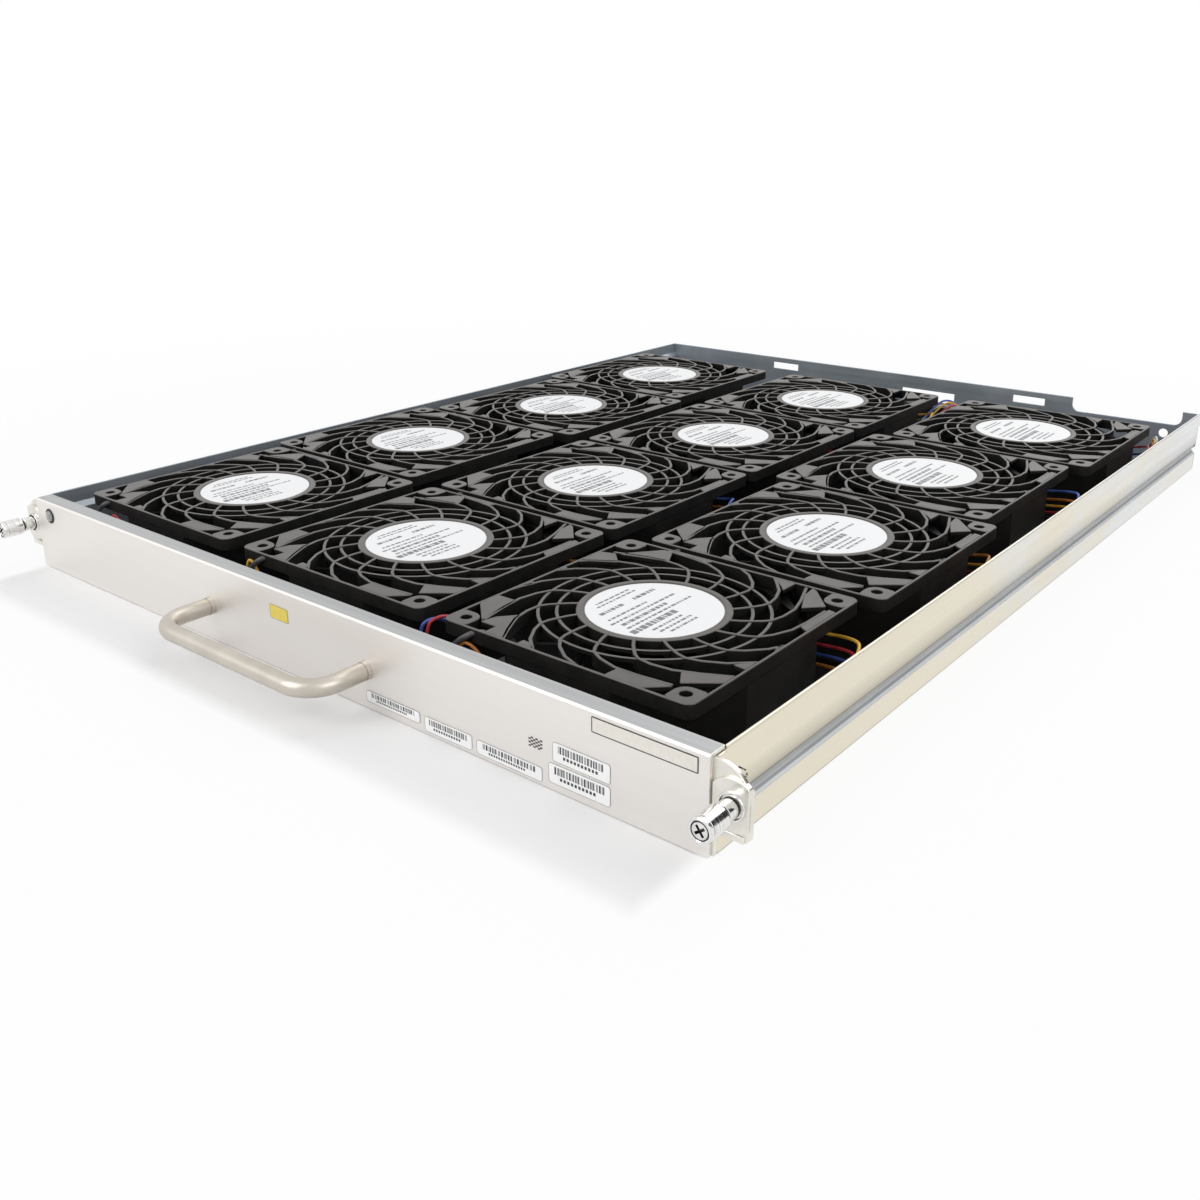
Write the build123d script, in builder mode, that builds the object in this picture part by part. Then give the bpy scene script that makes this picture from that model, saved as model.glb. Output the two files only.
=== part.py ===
"""Switch fan tray: a shallow sheet-metal drawer with twelve axial fans in a staggered grid.

Frame: X to the right along the front panel, Y to the rear, Z up. The origin is on the underside of
the floor, at the centre of the fan grid. All sizes are in millimetres.
"""
import os
from math import atan2, cos, degrees, pi, radians, sin, tan

from build123d import *

os.makedirs("parts", exist_ok=True)

# Fans: square body, grid and staggered columns
fan_side = 120.0
fan_height = 38.0
fan_corner_chamfer = 3.0
fan_rows = 4
row_gap = 4.5
narrow_column_gap = 13.0
wide_column_gap = 21.3

# Fan guard: motor base, swept vanes and two rings
guard_depth = 6.0
motor_base_radius = 31.5
vane_count = 17
vane_width = 1.6
vane_bend_sweep = 8.0
vane_rim_sweep = 25.0
ring_shares = (0.3, 0.59)
ring_width = 1.5
ring_depth = 1.5
ring_sides = 10

# Fan housing: duct between the guard and a square foot flange
duct_wall = 2.8
duct_sides = 12
flange_thickness = 4.5

# Impeller: closed hub over the motor, blades and shaft end
blade_count = 5
tip_clearance = 1.2
hub_inset = 1.1
hub_sides = 12
blade_inset = 2.0
blade_reach = 11.0
blade_thickness = 1.8
impeller_end_gap = 2.6
shaft_radius = 2.0
shaft_clearance = 0.3
shaft_sides = 6
bearing_depth = 4.0

# Tray sheet metal
floor_thickness = 1.5
sheet = 1.2
sheet_clearance = 0.1
fan_stand_out = 2.0
side_channel = 13.7
joggle = 2.7
right_groove_bottom = 10.6
right_groove_depth = 2.0
right_groove_floor = 1.0
left_joggle_drop = 8.0
front_gap = 19.5
rear_bay = 61.5
rear_tab_height = 9.0
rear_tab_length = 7.0
opening_margin = 3.5
opening_corner = 33.0

# Rear wall cut-outs
notch_length = 72.5
notch_inset = 10.5
notch_depth = 9.5
notch_radius = 5.0
vent_slot_inset = 114.0
vent_slot_length = 23.0
vent_slot_height = 5.0
vent_slot_drop = 4.0
cable_hole_inset = 21.0
cable_hole_drop = 16.0
cable_hole_radius = 3.0
cable_hole_sides = 12
window_x = 24.0
window_length = 42.0
window_bottom = 6.5
window_height = 21.0

# Front panel, ears and pull handle
panel_thickness = 2.0
panel_flange_depth = 8.6
panel_flange_thickness = 1.5
panel_end_step = 1.0
panel_edge_break = 0.8
ear_thickness = 2.0
ear_projection = 13.5
ear_bottom = 9.5
ear_corner_radius = 8.0
ear_corner_cut = 2.0
ear_overlap = 8.0
boss_radius = 6.3
boss_height = 0.8
handle_x = -4.5
handle_z = 17.0
handle_spacing = 107.0
handle_reach = 28.0
handle_bar_radius = 3.9
handle_bar_sides = 8
handle_bend_radius = 14.0
handle_bend_chords = 5
handle_screw_radius = 2.0
handle_screw_sides = 6
handle_screw_depth = 9.0
handle_screw_head_radius = 4.0
handle_screw_head_height = 2.6
screw_hole_clearance = 0.2
led_inset = 14.0
led_drop = 7.5
led_radius = 3.2
led_flange_radius = 4.0
led_flange_thickness = 0.9
led_length = 6.0
led_sides = 12

# Captive screws at the two ears
captive_offset = 7.0
captive_z = 22.0
captive_reach = 17.0
knob_radius = 4.6
knob_length = 10.5
knob_sides = 12
skirt_radius = 4.0
skirt_depth = 5.6
ferrule_barrel_radius = 3.6
ferrule_barrel_length = 5.2
ferrule_flange_radius = 5.2
ferrule_flange_thickness = 1.2
ferrule_spigot_radius = 3.2
ferrule_sides = 8
captive_thread_radius = 2.0
captive_neck_radius = 1.7
captive_thread_gap = 0.5
captive_clearance = 0.3
captive_thread_length = 8.0
washer_thickness = 0.6
spring_wall = 0.8
spring_sides = 8
neck_sides = 8

# Rear bay: controller board, connector and wiring looms
board_length = 180.0
board_width = 38.0
board_thickness = 1.6
board_rear_gap = 2.0
standoff_height = 4.0
standoff_radius = 3.0
standoff_inset = 8.0
connector_length = 36.0
connector_height = 11.0
connector_depth = 16.0
connector_wall = 2.0
connector_pocket = 9.0
connector_reach = 6.0
plug_width = 14.0
plug_depth = 8.0
plug_height = 8.0
loom_radius = 2.2
loom_sides = 6
loom_bend_radius = 13.0
loom_front_inset = 100.0
loom_floor_gap = 0.1

# Places worked out from the sizes above
row_pitch = fan_side + row_gap
narrow_pitch = fan_side + narrow_column_gap
wide_pitch = fan_side + wide_column_gap
fan_bottom = floor_thickness
tray_height = fan_bottom + fan_height - fan_stand_out
outer_edge = wide_pitch + fan_side / 2
half_width = outer_edge + side_channel
panel_half_width = half_width - panel_end_step
ear_reach = half_width + ear_projection
captive_x = half_width + captive_offset
led_x = led_inset - half_width
led_z = tray_height - led_drop
duct_radius = fan_side / 2 - duct_wall
hub_radius = motor_base_radius - hub_inset
vane_reach = duct_radius - motor_base_radius
ring_radii = [motor_base_radius + share * vane_reach for share in ring_shares]
vane_bend_radius = max(ring_radii)
guard_bottom = fan_bottom + fan_height - guard_depth
grid_front = -((fan_rows - 1) / 2 * row_pitch + fan_side / 2)
grid_rear = -grid_front
panel_front = grid_front - front_gap
ear_front = panel_front + panel_thickness
tray_front = ear_front + ear_thickness
rear_inside = grid_rear + rear_bay - sheet
rear_outside = rear_inside + sheet
inset_width = half_width - joggle


def polar(radius, angle):
    """Point at a radius and an angle in degrees."""
    return (radius * cos(radians(angle)), radius * sin(radians(angle)))


def flat_radius(across, sides):
    """Corner radius of a regular polygon whose flats stand at a radius."""
    return across / cos(pi / sides)


def fan_places():
    """Name and centre of each fan, front row first, left to right."""
    places = []
    for row in range(fan_rows):
        pitch = narrow_pitch if row % 2 == 0 else wide_pitch
        for column in range(3):
            name = f"row{row + 1}_{('left', 'middle', 'right')[column]}"
            places.append((name, (column - 1) * pitch, (row - (fan_rows - 1) / 2) * row_pitch))
    return places


def vane_bay():
    """Corners of the gap between one vane and the next; each vane bends at the outer ring."""
    step = 360 / vane_count
    run = radians(vane_rim_sweep - vane_bend_sweep) * (vane_bend_radius + duct_radius) / 2
    slant = atan2(run, duct_radius - vane_bend_radius)
    half_base = degrees(vane_width / 2 / motor_base_radius)
    half_bend = degrees(vane_width / 2 / vane_bend_radius)
    half_rim = degrees(vane_width / 2 / duct_radius / cos(slant))
    return (
        polar(motor_base_radius, half_base),
        polar(vane_bend_radius, vane_bend_sweep + half_bend),
        polar(duct_radius, vane_rim_sweep + half_rim),
        polar(duct_radius, step + vane_rim_sweep - half_rim),
        polar(vane_bend_radius, step + vane_bend_sweep - half_bend),
        polar(motor_base_radius, step - half_base),
    )


impeller_bottom = fan_bottom + impeller_end_gap
impeller_top = guard_bottom - ring_depth - impeller_end_gap / 2
tip_radius = duct_radius - tip_clearance
blade_tip = (tip_radius**2 - (blade_reach + blade_thickness) ** 2) ** 0.5
blade_root = (hub_radius**2 - (blade_reach + blade_thickness) ** 2) ** 0.5 - blade_inset / 2

# Fan by fan: guard with the motor base and its bearing bore, housing and impeller
for fan_name, fan_x, fan_y in fan_places():
    fan_plane = Plane((fan_x, fan_y, 0))

    with BuildPart() as guard:
        with BuildSketch(fan_plane.offset(guard_bottom)) as guard_outline:
            Rectangle(fan_side, fan_side)
            chamfer(guard_outline.vertices(), fan_corner_chamfer)
            with PolarLocations(0, vane_count):
                Polygon(*vane_bay(), align=None, mode=Mode.SUBTRACT)
        extrude(amount=guard_depth)
        with BuildSketch(fan_plane.offset(guard_bottom)):
            RegularPolygon(flat_radius(shaft_radius + shaft_clearance, shaft_sides), shaft_sides)
        extrude(amount=bearing_depth, mode=Mode.SUBTRACT)
    guard.part.label = f"fan_guard_{fan_name}"
    export_step(guard.part, f"parts/{guard.part.label}.step")

    with BuildPart() as housing:
        with BuildSketch(fan_plane.offset(fan_bottom)):
            Rectangle(fan_side, fan_side)
        extrude(amount=flange_thickness)
        with BuildSketch(fan_plane.offset(fan_bottom + flange_thickness)):
            RegularPolygon(fan_side / 2, 8, major_radius=False, rotation=180 / 8)
        extrude(amount=guard_bottom - fan_bottom - flange_thickness)
        with BuildSketch(fan_plane.offset(fan_bottom)):
            RegularPolygon(duct_radius, duct_sides, major_radius=False, rotation=180 / duct_sides)
        extrude(amount=guard_bottom - fan_bottom, mode=Mode.SUBTRACT)
    housing.part.label = f"fan_housing_{fan_name}"
    export_step(housing.part, f"parts/{housing.part.label}.step")

    with BuildPart() as impeller:
        with BuildSketch(fan_plane.offset(impeller_bottom)):
            RegularPolygon(hub_radius, hub_sides)
        extrude(amount=impeller_top - impeller_bottom)
        for blade in range(blade_count):
            turn = 360 / blade_count * blade
            root = fan_plane.rotated((0, 0, turn))
            blade_plane = Plane(
                origin=root.origin + root.x_dir * blade_root, x_dir=root.y_dir, z_dir=root.x_dir
            )
            with BuildSketch(blade_plane):
                Polygon(
                    (-blade_reach - blade_thickness, impeller_bottom + blade_inset),
                    (-blade_reach, impeller_bottom + blade_inset),
                    (blade_reach + blade_thickness, impeller_top - blade_inset),
                    (blade_reach, impeller_top - blade_inset),
                    align=None,
                )
            extrude(amount=blade_tip - blade_root)
        with BuildSketch(fan_plane.offset(impeller_top)):
            RegularPolygon(shaft_radius, shaft_sides)
        extrude(amount=guard_bottom + bearing_depth - shaft_clearance - impeller_top)
    impeller.part.label = f"impeller_{fan_name}"
    export_step(impeller.part, f"parts/{impeller.part.label}.step")

# Guard rings, two under the vanes of every guard; the larger is cut first
with BuildPart() as guard_rings:
    for fan_name, fan_x, fan_y in fan_places():
        with BuildSketch(Plane((fan_x, fan_y, guard_bottom - ring_depth))):
            for radius in sorted(ring_radii, reverse=True):
                RegularPolygon(radius + ring_width / 2, ring_sides)
                RegularPolygon(radius - ring_width / 2, ring_sides, mode=Mode.SUBTRACT)
        extrude(amount=ring_depth)
guard_rings.part.label = "guard_rings"
export_step(guard_rings.part, "parts/guard_rings.step")


def across(y):
    """Plane facing the front at a depth, with local x to the right and local y up."""
    return Plane.XZ.offset(-y)


# Tray floor with a clipped square opening under every fan
floor_left = -(inset_width - sheet)
floor_right = half_width - sheet
with BuildPart() as tray_floor:
    with BuildSketch():
        with Locations(((floor_left + floor_right) / 2, (tray_front + rear_inside) / 2)):
            Rectangle(floor_right - floor_left, rear_inside - tray_front)
        with BuildSketch(mode=Mode.SUBTRACT) as openings:
            with Locations(*[(fan_x, fan_y) for fan_name, fan_x, fan_y in fan_places()]):
                Rectangle(fan_side - 2 * opening_margin, fan_side - 2 * opening_margin)
            chamfer(openings.vertices(), opening_corner)
    extrude(amount=floor_thickness)
tray_floor.part.label = "tray_floor"
export_step(tray_floor.part, "parts/tray_floor.step")

# Side walls: one bent sheet each, stepped outwards high on the left and grooved low on the right
inner_bend = sheet * tan(pi / 8)
flange_seat = tray_height - panel_flange_thickness - sheet_clearance
flange_end = panel_front + panel_flange_depth + sheet_clearance
step_top = tray_height - left_joggle_drop
step_bottom = step_top - joggle
groove_low = right_groove_bottom + right_groove_depth
groove_high = groove_low + right_groove_floor
groove_top = groove_high + right_groove_depth
groove_width = half_width - right_groove_depth
left_outside = [
    (-inset_width, 0),
    (-inset_width, step_bottom),
    (-half_width, step_top),
    (-half_width, tray_height),
]
left_inside = [
    (sheet - half_width, tray_height),
    (sheet - half_width, step_top + inner_bend),
    (sheet - inset_width, step_bottom + inner_bend),
    (sheet - inset_width, 0),
]
right_outside = [
    (half_width, 0),
    (half_width, right_groove_bottom),
    (groove_width, groove_low),
    (groove_width, groove_high),
    (half_width, groove_top),
    (half_width, tray_height),
]
right_inside = [
    (half_width - sheet, tray_height),
    (half_width - sheet, groove_top + inner_bend),
    (groove_width - sheet, groove_high + inner_bend),
    (groove_width - sheet, groove_low - inner_bend),
    (half_width - sheet, right_groove_bottom - inner_bend),
    (half_width - sheet, 0),
]
for side_name, side, profile in (
    ("left", -1, left_outside + left_inside),
    ("right", 1, right_outside + right_inside),
):
    with BuildPart() as side_wall:
        with BuildSketch(across(rear_inside)):
            with BuildLine():
                Polyline(*profile, close=True)
            make_face()
        extrude(amount=rear_inside - tray_front)
        with BuildSketch(across(flange_end)):
            with Locations((side * half_width, tray_height)):
                Rectangle(4 * sheet, 2 * (tray_height - flange_seat))
        extrude(amount=flange_end - tray_front, mode=Mode.SUBTRACT)
        if side_name == "right":
            with BuildSketch(across(rear_outside + rear_tab_length)):
                with Locations((half_width - sheet / 2, tray_height - rear_tab_height / 2)):
                    Rectangle(sheet, rear_tab_height)
            extrude(amount=rear_outside + rear_tab_length - rear_inside)
    side_wall.part.label = f"{side_name}_side_wall"
    export_step(side_wall.part, f"parts/{side_wall.part.label}.step")

# Rear wall: follows both side profiles, with a rounded notch, vent slots, cable hole and window
with BuildPart() as rear_wall:
    with BuildSketch(across(rear_outside)):
        with BuildLine():
            Polyline(
                *right_outside[:-1],
                (half_width, tray_height - rear_tab_height - sheet_clearance),
                (half_width - sheet - sheet_clearance, tray_height - rear_tab_height - sheet_clearance),
                (half_width - sheet - sheet_clearance, tray_height),
                *reversed(left_outside),
                close=True,
            )
        make_face()
        with BuildSketch(mode=Mode.SUBTRACT) as notch:
            with Locations((half_width - notch_inset - notch_length / 2, tray_height)):
                Rectangle(notch_length, 2 * notch_depth)
            fillet(notch.vertices().group_by(Axis.Y)[0], notch_radius)
        slot_middle = tray_height - vent_slot_drop - vent_slot_height / 2
        slot_x = half_width - vent_slot_inset
        with Locations((-slot_x, slot_middle), (slot_x, slot_middle)):
            Rectangle(vent_slot_length, vent_slot_height, mode=Mode.SUBTRACT)
        with Locations((half_width - cable_hole_inset, tray_height - cable_hole_drop)):
            RegularPolygon(cable_hole_radius, cable_hole_sides, mode=Mode.SUBTRACT)
        with Locations((window_x, window_bottom + window_height / 2)):
            Rectangle(window_length, window_height, mode=Mode.SUBTRACT)
    extrude(amount=sheet)
rear_wall.part.label = "rear_wall"
export_step(rear_wall.part, "parts/rear_wall.step")

# Front panel: face plate with a top flange, handle screw holes and the lamp hole
handle_ends = [(handle_x - handle_spacing / 2, handle_z), (handle_x + handle_spacing / 2, handle_z)]
with BuildPart() as front_panel:
    with BuildSketch(across(ear_front)):
        with Locations((0, tray_height / 2)):
            Rectangle(2 * panel_half_width, tray_height)
        with Locations(*handle_ends):
            hole_radius = handle_screw_radius + screw_hole_clearance
            RegularPolygon(hole_radius, handle_screw_sides, mode=Mode.SUBTRACT)
        with Locations((led_x, led_z)):
            RegularPolygon(led_radius, led_sides, mode=Mode.SUBTRACT)
    extrude(amount=panel_thickness)
    with BuildSketch(across(panel_front + panel_flange_depth)):
        with Locations((0, tray_height - panel_flange_thickness / 2)):
            Rectangle(2 * panel_half_width, panel_flange_thickness)
    extrude(amount=panel_flange_depth)
    front_edge = front_panel.edges().filter_by(Axis.X).group_by(Axis.Z)[-1].sort_by(Axis.Y)[0]
    chamfer(front_edge, panel_edge_break)
front_panel.part.label = "front_panel"
export_step(front_panel.part, "parts/front_panel.step")

# Ears: plates behind the panel that carry the captive screws on a raised boss
ear_top = tray_height - panel_flange_thickness - sheet_clearance
for side_name, side in (("left", -1), ("right", 1)):
    with BuildPart() as ear:
        with BuildSketch(across(tray_front)) as ear_outline:
            with BuildLine():
                Polyline(
                    (side * (panel_half_width - ear_overlap), 0),
                    (side * half_width, 0),
                    (side * half_width, ear_bottom),
                    (side * ear_reach, ear_bottom),
                    (side * ear_reach, ear_top),
                    (side * (panel_half_width - ear_overlap), ear_top),
                    close=True,
                )
            make_face()
            outer = ear_outline.vertices().group_by(Axis.X)[0 if side < 0 else -1].sort_by(Axis.Y)
            fillet(outer[-1], ear_corner_radius)
            chamfer(outer[0], ear_corner_cut)
        extrude(amount=ear_thickness)
        with BuildSketch(across(ear_front)):
            with Locations((side * captive_x, captive_z)):
                RegularPolygon(boss_radius, ferrule_sides)
        extrude(amount=boss_height)
        with BuildSketch(across(tray_front)):
            with Locations((side * captive_x, captive_z)):
                RegularPolygon(ferrule_spigot_radius, ferrule_sides)
        extrude(amount=ear_thickness + boss_height, mode=Mode.SUBTRACT)
    ear.part.label = f"{side_name}_ear"
    export_step(ear.part, f"parts/{ear.part.label}.step")

# Pull handle: round bar bent into a flat U, tapped at both ends
with BuildPart() as pull_handle:
    left_bend = []
    for chord in range(handle_bend_chords + 1):
        turn = pi / 2 * chord / handle_bend_chords
        left_bend.append(
            (
                handle_x - handle_spacing / 2 + handle_bend_radius * (1 - cos(turn)),
                panel_front - handle_reach + handle_bend_radius * (1 - sin(turn)),
            )
        )
    right_bend = [(2 * handle_x - x, y) for x, y in reversed(left_bend)]
    bar_route = [(handle_ends[0][0], panel_front), *left_bend, *right_bend, (handle_ends[1][0], panel_front)]
    with BuildLine():
        Polyline(*[(x, y, handle_z) for x, y in bar_route])
    with BuildSketch(across(panel_front)):
        with Locations(handle_ends[0]):
            RegularPolygon(handle_bar_radius, handle_bar_sides)
    sweep(transition=Transition.RIGHT)
    with BuildSketch(across(panel_front)):
        with Locations(*handle_ends):
            RegularPolygon(handle_screw_radius, handle_screw_sides)
    extrude(amount=handle_screw_depth, mode=Mode.SUBTRACT)
pull_handle.part.label = "pull_handle"
export_step(pull_handle.part, "parts/pull_handle.step")

# Handle screws: through the panel from behind into the handle's ends
with BuildPart() as handle_screws:
    with BuildSketch(across(ear_front)):
        with Locations(*handle_ends):
            RegularPolygon(handle_screw_radius, handle_screw_sides)
    extrude(amount=panel_thickness + handle_screw_depth - screw_hole_clearance)
    with BuildSketch(across(ear_front + handle_screw_head_height)):
        with Locations(*handle_ends):
            RegularPolygon(handle_screw_head_radius, handle_screw_sides)
    extrude(amount=handle_screw_head_height)
handle_screws.part.label = "handle_screws"
export_step(handle_screws.part, "parts/handle_screws.step")

# Status lamp: clear lens pushed through the panel, with a rim at the front
with BuildPart() as status_lamp:
    with BuildSketch(across(panel_front + led_length)):
        with Locations((led_x, led_z)):
            RegularPolygon(led_radius, led_sides)
    extrude(amount=led_length)
    with BuildSketch(across(panel_front)):
        with Locations((led_x, led_z)):
            RegularPolygon(led_flange_radius, led_sides)
    extrude(amount=led_flange_thickness)
    chamfer(status_lamp.faces().sort_by(Axis.Y)[0].edges(), led_flange_thickness / 2)
status_lamp.part.label = "status_lamp"
export_step(status_lamp.part, "parts/status_lamp.step")

# Captive screws: a pressed ferrule, a spring, a washer and a knob with its threaded shank
ferrule_seat = ear_front - boss_height
barrel_front = ferrule_seat - ferrule_flange_thickness - ferrule_barrel_length
knob_front = panel_front - captive_reach
knob_rear = knob_front + knob_length
skirt_floor = knob_rear - skirt_depth
washer_rear = skirt_floor + washer_thickness
thread_start = tray_front + captive_thread_gap
sleeve_radius = captive_thread_radius + captive_clearance
with BuildPart() as ferrules:
    for side in (-1, 1):
        with BuildSketch(across(tray_front)):
            with Locations((side * captive_x, captive_z)):
                RegularPolygon(ferrule_spigot_radius, ferrule_sides)
        extrude(amount=ear_thickness + boss_height)
        with BuildSketch(across(ferrule_seat)):
            with Locations((side * captive_x, captive_z)):
                RegularPolygon(ferrule_flange_radius, ferrule_sides)
        extrude(amount=ferrule_flange_thickness)
        with BuildSketch(across(ferrule_seat - ferrule_flange_thickness)):
            with Locations((side * captive_x, captive_z)):
                RegularPolygon(ferrule_barrel_radius, ferrule_sides)
        extrude(amount=ferrule_barrel_length)
        with BuildSketch(across(tray_front)):
            with Locations((side * captive_x, captive_z)):
                RegularPolygon(flat_radius(sleeve_radius, ferrule_sides), ferrule_sides)
        extrude(amount=tray_front - barrel_front, mode=Mode.SUBTRACT)
ferrules.part.label = "screw_ferrules"
export_step(ferrules.part, "parts/screw_ferrules.step")

for side_name, side in (("left", -1), ("right", 1)):
    with BuildPart() as captive_screw:
        with BuildSketch(across(knob_rear)):
            with Locations((side * captive_x, captive_z)):
                RegularPolygon(knob_radius, knob_sides)
        extrude(amount=knob_length)
        with BuildSketch(across(knob_rear)):
            with Locations((side * captive_x, captive_z)):
                RegularPolygon(flat_radius(skirt_radius, knob_sides), knob_sides)
        extrude(amount=skirt_depth, mode=Mode.SUBTRACT)
        with BuildSketch(across(thread_start)):
            with Locations((side * captive_x, captive_z)):
                RegularPolygon(captive_neck_radius, neck_sides)
        extrude(amount=thread_start - skirt_floor)
        with BuildSketch(across(thread_start + captive_thread_length)):
            with Locations((side * captive_x, captive_z)):
                Circle(captive_thread_radius)
        extrude(amount=captive_thread_length)
    captive_screw.part.label = f"{side_name}_captive_screw"
    export_step(captive_screw.part, f"parts/{captive_screw.part.label}.step")

    with BuildPart() as washer:
        with BuildSketch(across(washer_rear)):
            with Locations((side * captive_x, captive_z)):
                RegularPolygon(skirt_radius - captive_clearance, spring_sides)
                RegularPolygon(flat_radius(sleeve_radius, spring_sides), spring_sides, mode=Mode.SUBTRACT)
        extrude(amount=washer_thickness)
    washer.part.label = f"{side_name}_captive_washer"
    export_step(washer.part, f"parts/{washer.part.label}.step")

    with BuildPart() as spring:
        with BuildSketch(across(barrel_front)):
            with Locations((side * captive_x, captive_z)):
                RegularPolygon(flat_radius(sleeve_radius, spring_sides) + spring_wall, spring_sides)
                RegularPolygon(flat_radius(sleeve_radius, spring_sides), spring_sides, mode=Mode.SUBTRACT)
        extrude(amount=barrel_front - washer_rear)
    spring.part.label = f"{side_name}_captive_spring"
    export_step(spring.part, f"parts/{spring.part.label}.step")

# Controller board on four standoffs in the rear bay
board_bottom = floor_thickness + standoff_height
board_rear = rear_inside - board_rear_gap
board_middle = board_rear - board_width / 2
with BuildPart() as controller_board:
    with BuildSketch(Plane((0, board_middle, board_bottom))):
        Rectangle(board_length, board_width)
    extrude(amount=board_thickness)
controller_board.part.label = "controller_board"
export_step(controller_board.part, "parts/controller_board.step")

with BuildPart() as board_standoffs:
    with BuildSketch(Plane((0, board_middle, floor_thickness))):
        with GridLocations(board_length - 2 * standoff_inset, board_width - 2 * standoff_inset, 2, 2):
            RegularPolygon(standoff_radius, 6)
    extrude(amount=standoff_height)
board_standoffs.part.label = "board_standoffs"
export_step(board_standoffs.part, "parts/board_standoffs.step")

# Rear connector: shrouded receptacle on the board, reaching out through the window
connector_bottom = board_bottom + board_thickness
connector_rear = rear_outside + connector_reach
with BuildPart() as rear_connector:
    with BuildSketch(across(connector_rear)):
        with Locations((window_x, connector_bottom + connector_height / 2)):
            Rectangle(connector_length, connector_height)
    extrude(amount=connector_depth)
    with BuildSketch(across(connector_rear)):
        with Locations((window_x, connector_bottom + connector_height / 2)):
            Rectangle(connector_length - 2 * connector_wall, connector_height - 2 * connector_wall)
    extrude(amount=connector_pocket, mode=Mode.SUBTRACT)
rear_connector.part.label = "rear_connector"
export_step(rear_connector.part, "parts/rear_connector.step")

# Wiring looms: one beside each outer column and one between columns, plugged into the board
loom_z = floor_thickness + loom_radius + loom_floor_gap
left_lane = -(outer_edge + inset_width - sheet) / 2
right_lane = (outer_edge + half_width - sheet) / 2
middle_lane = narrow_pitch / 2
loom_front = grid_front + loom_front_inset
plug_face = board_length / 2 + plug_depth
plug_front = board_rear - board_width - plug_depth
loom_routes = (
    ((left_lane, loom_front), (left_lane, board_middle), (-plug_face, board_middle)),
    ((right_lane, loom_front), (right_lane, board_middle), (plug_face, board_middle)),
    ((middle_lane, loom_front), (middle_lane, plug_front)),
)
with BuildPart() as wiring_looms:
    for route in loom_routes:
        with BuildLine():
            if len(route) == 2:
                Line(*[(x, y, loom_z) for x, y in route])
            else:
                FilletPolyline(*[(x, y, loom_z) for x, y in route], radius=loom_bend_radius)
        with BuildSketch(across(loom_front)):
            with Locations((route[0][0], loom_z)):
                RegularPolygon(loom_radius, loom_sides)
        sweep()
wiring_looms.part.label = "wiring_looms"
export_step(wiring_looms.part, "parts/wiring_looms.step")

with BuildPart() as loom_plugs:
    with BuildSketch(Plane((0, 0, floor_thickness))):
        for side in (-1, 1):
            with Locations((side * (plug_face - plug_depth / 2), board_middle)):
                Rectangle(plug_depth, plug_width)
        with Locations((middle_lane, plug_front + plug_depth / 2)):
            Rectangle(plug_width, plug_depth)
    extrude(amount=plug_height)
loom_plugs.part.label = "loom_plugs"
export_step(loom_plugs.part, "parts/loom_plugs.step")
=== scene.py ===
"""Looks of the switch fan tray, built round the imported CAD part. Metres, Z up, rear along +Y."""
from math import cos, pi, radians, sin
from random import Random

import bpy
from mathutils import Matrix, Vector


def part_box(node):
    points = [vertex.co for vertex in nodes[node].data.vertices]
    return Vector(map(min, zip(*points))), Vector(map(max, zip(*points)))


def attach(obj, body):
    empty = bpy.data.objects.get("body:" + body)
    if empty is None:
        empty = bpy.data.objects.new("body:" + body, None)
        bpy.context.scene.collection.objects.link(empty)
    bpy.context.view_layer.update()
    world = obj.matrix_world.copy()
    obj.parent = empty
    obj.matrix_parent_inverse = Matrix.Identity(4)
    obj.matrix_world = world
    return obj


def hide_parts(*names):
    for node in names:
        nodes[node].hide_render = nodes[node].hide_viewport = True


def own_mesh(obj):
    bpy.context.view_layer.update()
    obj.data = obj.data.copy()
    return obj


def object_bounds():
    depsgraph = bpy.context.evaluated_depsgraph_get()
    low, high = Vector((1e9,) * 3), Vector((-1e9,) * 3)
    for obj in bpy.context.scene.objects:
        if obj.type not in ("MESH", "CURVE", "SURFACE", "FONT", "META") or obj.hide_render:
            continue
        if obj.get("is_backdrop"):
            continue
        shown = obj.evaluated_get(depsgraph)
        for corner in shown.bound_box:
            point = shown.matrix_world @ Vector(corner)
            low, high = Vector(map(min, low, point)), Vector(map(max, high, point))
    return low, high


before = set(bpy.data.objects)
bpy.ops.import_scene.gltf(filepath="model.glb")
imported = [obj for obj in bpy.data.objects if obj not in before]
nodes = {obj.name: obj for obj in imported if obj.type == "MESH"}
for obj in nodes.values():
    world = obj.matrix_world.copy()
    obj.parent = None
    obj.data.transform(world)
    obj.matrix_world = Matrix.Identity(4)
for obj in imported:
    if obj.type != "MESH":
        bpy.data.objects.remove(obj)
cad_low, cad_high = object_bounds()
MM = 0.001

# Tray floor and walls: a shallow drawer folded from zinc-plated steel sheet. The right wall's skin
# drifts between straw and a cool white. The floor, left wall and rear wall take a darker slate copy
# of the sheet as painted shade. A groove or a step runs along each side, and an eyelet and a slit are
# pierced beside the right ear. On the right wall, bands of painted shade and painted dark lines lie
# along the foot, the groove and the rim. The groove's floor and upper slope take a darker copy of the
# sheet as painted shade, and its lower slope takes a lighter copy as a painted highlight.
zinc_straw = (0.79, 0.735, 0.6, 1)
zinc_cool = (0.76, 0.77, 0.76, 1)
# Darker slate copy of the zinc sheet: painted shade for the floor, the left wall and the rear wall
shaded_slate_dark = (0.34, 0.375, 0.41, 1)
shaded_slate_light = (0.44, 0.475, 0.51, 1)
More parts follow.
